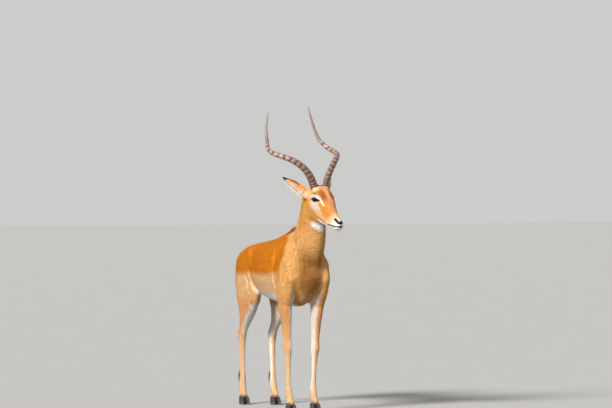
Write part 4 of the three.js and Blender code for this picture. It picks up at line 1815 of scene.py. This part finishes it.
def earFringe(side, name):
    along, across, out = earCoordinates(triangleMiddles, side)
    _, _, line, opening = earFrame(side)
    lower = levelDirection(np.cross(opening, line) * side)
    line, opening = levelDirection(line), levelDirection(opening)
    half = earHalfWidth(along)
    near = (along > -0.02) & (along < 0.74) & (np.sign(triangleMiddles[:, 0] - headOrigin.x) == side)
    near &= (np.abs(across) < 30) & (np.abs(out) < 24) & (triangleNormals @ opening > 0.1)
    half = np.where(across > 0, half * (1 - earForm["drawnIn"]), half)
    atRim = fade(0.45, 0.85, np.abs(across) / half) * np.where(across > 0, 1.0, 0.35)
    weight = triangleAreas * near * (0.12 + atRim)
    places, normals, unwrap = rootsOn(earHair["count"] / weight.sum() * weight / triangleAreas)
    _, across, _ = earCoordinates(places, side)
    outward = fade(4, 16, across)[:, None]
    flows = line * 0.8 + opening * earHair["lean"] + lower * (0.45 * outward - 0.2)
    colours, _ = coatColours(places, normals)
    colours = painted(colours, 0.35 + 0.35 * outward[:, 0], coatHues["white"])
    return lockPiece(name, places, unwrap, flows, earHair["length"], colours, earHair)


lashForm = {"count": 56, "length": 7.5, "width": 0.55, "sag": 0.05, "spread": 0.06}


def lashes(side, name):
    axis, length, up = eyeFrame(side)
    middle = levelEye(side)
    share = np.linspace(-0.88, 0.92, lashForm["count"]) + 0.01 * random.normal(size=lashForm["count"])
    along = share * eyeForm["halfLength"]
    rise = eyeForm["upperLid"] * (1 - share**2).clip(0) ** 0.75 + 0.3
    radius = eyeForm["radius"]
    out = np.sqrt((radius**2 - along**2 - rise**2).clip(1))
    ray = (length * along[:, None] + up * rise[:, None] + axis * out[:, None]) / radius
    places = fromLevel(middle + ray * (radius + 0.6))
    flows = levelDirection(axis * 0.9 + up * 0.05 + length * (0.4 * share)[:, None] + ray * 0.3)
    colours = np.tile(faceHues["black"], (len(places), 1))
    lengths = lashForm["length"] * (1 - 0.4 * np.abs(share))
    return lockPiece(name, places, nearestUnwrap(places), flows, lengths, colours, lashForm)


whiskerForm = {
    "count": 18,
    "length": 18,
    "width": 0.32,
    "sag": 0.2,
    "spread": 0.15,
    # middle and radii of the places they grow in, as face places
    "upper": ((22, 146, -42), (6, 14, 9)),
    "lower": ((9, 158, -62), (8, 12, 6)),
}


def whiskers():
    chosen = []
    faces = toFace(triangleMiddles)
    for key in ("upper", "lower"):
        middle, radii = whiskerForm[key]
        inside = np.flatnonzero((((folded(faces) - middle) / radii) ** 2).sum(1) < 1)
        chosen.append(random.choice(inside, whiskerForm["count"], replace=False))
    chosen = np.concatenate(chosen)
    places, normals = triangleMiddles[chosen], triangleNormals[chosen]
    flows = normals * 0.9 + faceDirection((0, -0.35, -0.25))
    colours = np.tile(faceHues["brown"], (len(places), 1))
    unwrap = triangleUnwrap[chosen].mean(1)
    return lockPiece("whiskers", places, unwrap, flows, whiskerForm["length"], colours, whiskerForm)


longHair = coatMaterial("long hair")
plume = tailHair()
finishCoat(plume, longHair)
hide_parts("tail")
finishCoat(whiskers(), longHair)
for side, name in bothSides:
    finishCoat(earFringe(side, "ear_hair_" + name), longHair)
    finishCoat(lashes(side, "lashes_" + name), longHair)
report("long hair")


# Floor, camera and light.
view = {"turn": -18, "rise": 1, "aim": (0.1529, 0.0737, 1.0), "distance": 24.9, "lens": 300}
light = {
    "sun": 8, "sunAngle": 14, "fill": 10, "sky": 0.65, "floor": (0.295, 0.288, 0.276, 1),
    "toSun": (0.85, -0.62, 0.55),   # towards the camera, to its right, up
}


def makeFloor():
    shape = bmesh.new()
    bmesh.ops.create_grid(shape, x_segments=8, y_segments=8, size=40)
    floor = linked("floor", meshFrom(shape, "floor"))
    material, tree, shader = newMaterial("floor", Roughness=0.9)
    worn = mottle(tree, objectPlace(tree), light["floor"], 3, 0.05)
    tree.links.new(worn["Colour"], shader.inputs["Base Color"])
    floor.data.materials.append(material)


def addLight(name, kind, energy, toward, distance=1, **settings):
    data = bpy.data.lights.new(name, kind)
    data.energy = energy
    for key, value in settings.items():
        setattr(data, key, value)
    lamp = bpy.data.objects.new(name, data)
    scene.collection.objects.link(lamp)
    direction = Vector(toward).normalized()
    lamp.location = Vector((0.05, 0, 0.8)) + direction * distance
    lamp.rotation_euler = direction.to_track_quat("Z", "Y").to_euler()


def makeStudio():
    turn, rise = math.radians(view["turn"]), math.radians(view["rise"])
    back = Vector((math.sin(turn) * math.cos(rise), -math.cos(turn) * math.cos(rise), math.sin(rise)))
    camera = bpy.data.objects.new("camera", bpy.data.cameras.new("camera"))
    camera.data.lens = view["lens"]
    camera.data.sensor_width = 36
    camera.data.clip_end = 200
    camera.location = Vector(view["aim"]) + back * view["distance"]
    camera.rotation_euler = back.to_track_quat("Z", "Y").to_euler()
    scene.collection.objects.link(camera)
    scene.camera = camera
    right = Vector((math.cos(turn), math.sin(turn), 0))
    up = Vector((0, 0, 1))
    toSun = sum((axis * part for axis, part in zip((back, right, up), light["toSun"])), Vector())
    addLight("sun", "SUN", light["sun"], toSun, 6, angle=math.radians(light["sunAngle"]))
    addLight("fill", "AREA", light["fill"], back * 0.8 + right * 0.9 + up * 0.35, 5, size=4)
    world = bpy.data.worlds.new("studio")
    world.use_nodes = True
    world.node_tree.nodes["Background"].inputs["Color"].default_value = (0.93, 0.93, 0.92, 1)
    world.node_tree.nodes["Background"].inputs["Strength"].default_value = light["sky"]
    scene.world = world
    scene.view_settings.view_transform = "Standard"


makeFloor()
makeStudio()

bpy.context.view_layer.update()
report("scene ready")
